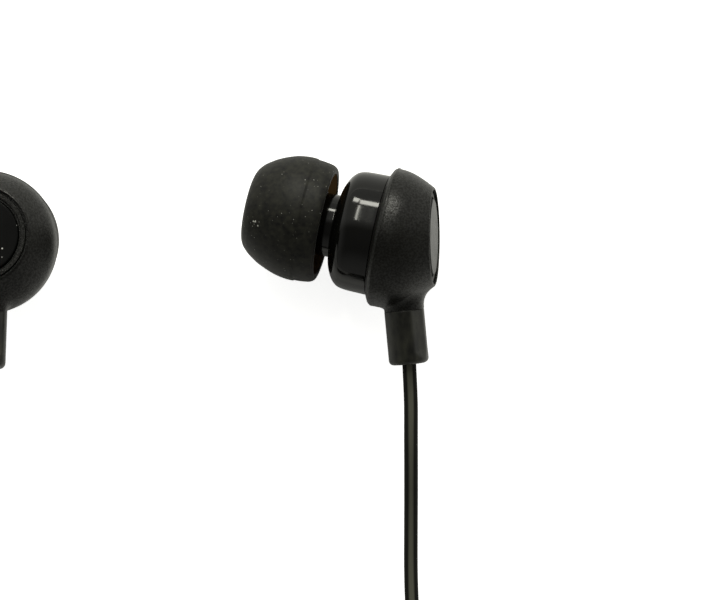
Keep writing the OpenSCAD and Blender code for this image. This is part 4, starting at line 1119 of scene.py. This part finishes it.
both = addNode(tree, "AddShader", {}, {0: paint, 1: glow})
addNode(tree, "OutputMaterial", {}, {"Surface": both})
half = stage["wide"] / 2
floorMesh = bpy.data.meshes.new("table")
floorMesh.from_pydata([(x * half, y * half, -stage["drop"])
                       for x, y in ((-1, -1), (1, -1), (1, 1), (-1, 1))], [], [(0, 1, 2, 3)])
floorMesh.materials.append(floorMaterial)
floor = bpy.data.objects.new("table", floorMesh)
bpy.context.scene.collection.objects.link(floor)
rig.stage(floor)

# Brightness of the air: the same all round, and more towards each side, from where a direction's
# part along that side passes the first share to where it passes the second.
sky = {"shade": "#fffff8", "base": 0.16, "behind": 0.64, "before": 0.28, "left": 0.3,
       "right": 0.24, "toCamera": 1.0,
       "sides": {"behind": ("Y", 0.1, 0.45), "before": ("Y", -0.5, -0.9),
                 "left": ("X", -0.5, -0.9), "right": ("X", 0.5, 0.9)}}
world = bpy.data.worlds.new("studio")
bpy.context.scene.world = world
world.use_nodes = True
tree = world.node_tree
tree.nodes.clear()
way = addNode(tree, "TexCoord")
split = addNode(tree, "SeparateXYZ", {}, {"Vector": way.outputs["Generated"]})
level = addNode(tree, "Value")
level.outputs[0].default_value = sky["base"]
for name, (axis, start, end) in sky["sides"].items():
    part = addNode(tree, "MapRange", {"interpolation_type": "SMOOTHSTEP", "From Min": start,
                                      "From Max": end, "To Max": sky[name]},
                   {"Value": split.outputs[axis]})
    level = addNode(tree, "Math", {"operation": "ADD"}, {0: level, 1: part})
rays = addNode(tree, "LightPath")
mix = addNode(tree, "Mix", {"data_type": "FLOAT", 3: sky["toCamera"]},
              {0: rays.outputs["Is Camera Ray"], 2: level})
air = addNode(tree, "Background", {"Color": colour(sky["shade"])}, {"Strength": mix})
addNode(tree, "OutputWorld", {}, {"Surface": air})

# Soft boxes, all as far off: where each stands (degrees from straight up, and round from +x), how
# it is turned about its own axis, how large in metres, and how bright.
lampDistance = 0.8
lampShade = "#fffef2"
lamps = {
    "barBehind": {"down": 57.8, "round": 82.5, "spin": -4, "size": (0.288, 0.118), "bright": 25.0},
    "patchBehind": {"down": 65, "round": 101, "spin": -35, "size": (0.175, 0.11), "bright": 24.0},
    "tubeAbove": {"down": 38.8, "round": 104.6, "spin": -26, "size": (0.026, 0.41), "bright": 26.0},
}
for name, lamp in lamps.items():
    data = bpy.data.lights.new(name, "AREA")
    data.shape = "RECTANGLE"
    data.size, data.size_y = lamp["size"]
    data.energy = lamp["bright"] * math.pi * data.size * data.size_y
    data.color = colour(lampShade)[:3]
    down, around = math.radians(lamp["down"]), math.radians(lamp["round"])
    toward = Vector((math.sin(down) * math.cos(around), math.sin(down) * math.sin(around),
                     math.cos(down)))
    lampObject = bpy.data.objects.new(name, data)
    lampObject.location = toward * lampDistance
    facing = toward.to_track_quat("Z", "Y") @ Quaternion((0, 0, 1), math.radians(lamp["spin"]))
    lampObject.rotation_euler = facing.to_euler()
    lampObject.visible_camera = False
    bpy.context.scene.collection.objects.link(lampObject)
print("stage and lamps made")

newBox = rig.bounds()
with open("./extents.json", "w") as f:
    json.dump({"cad": [list(v) for v in cadBox], "visual": [list(v) for v in newBox]}, f)
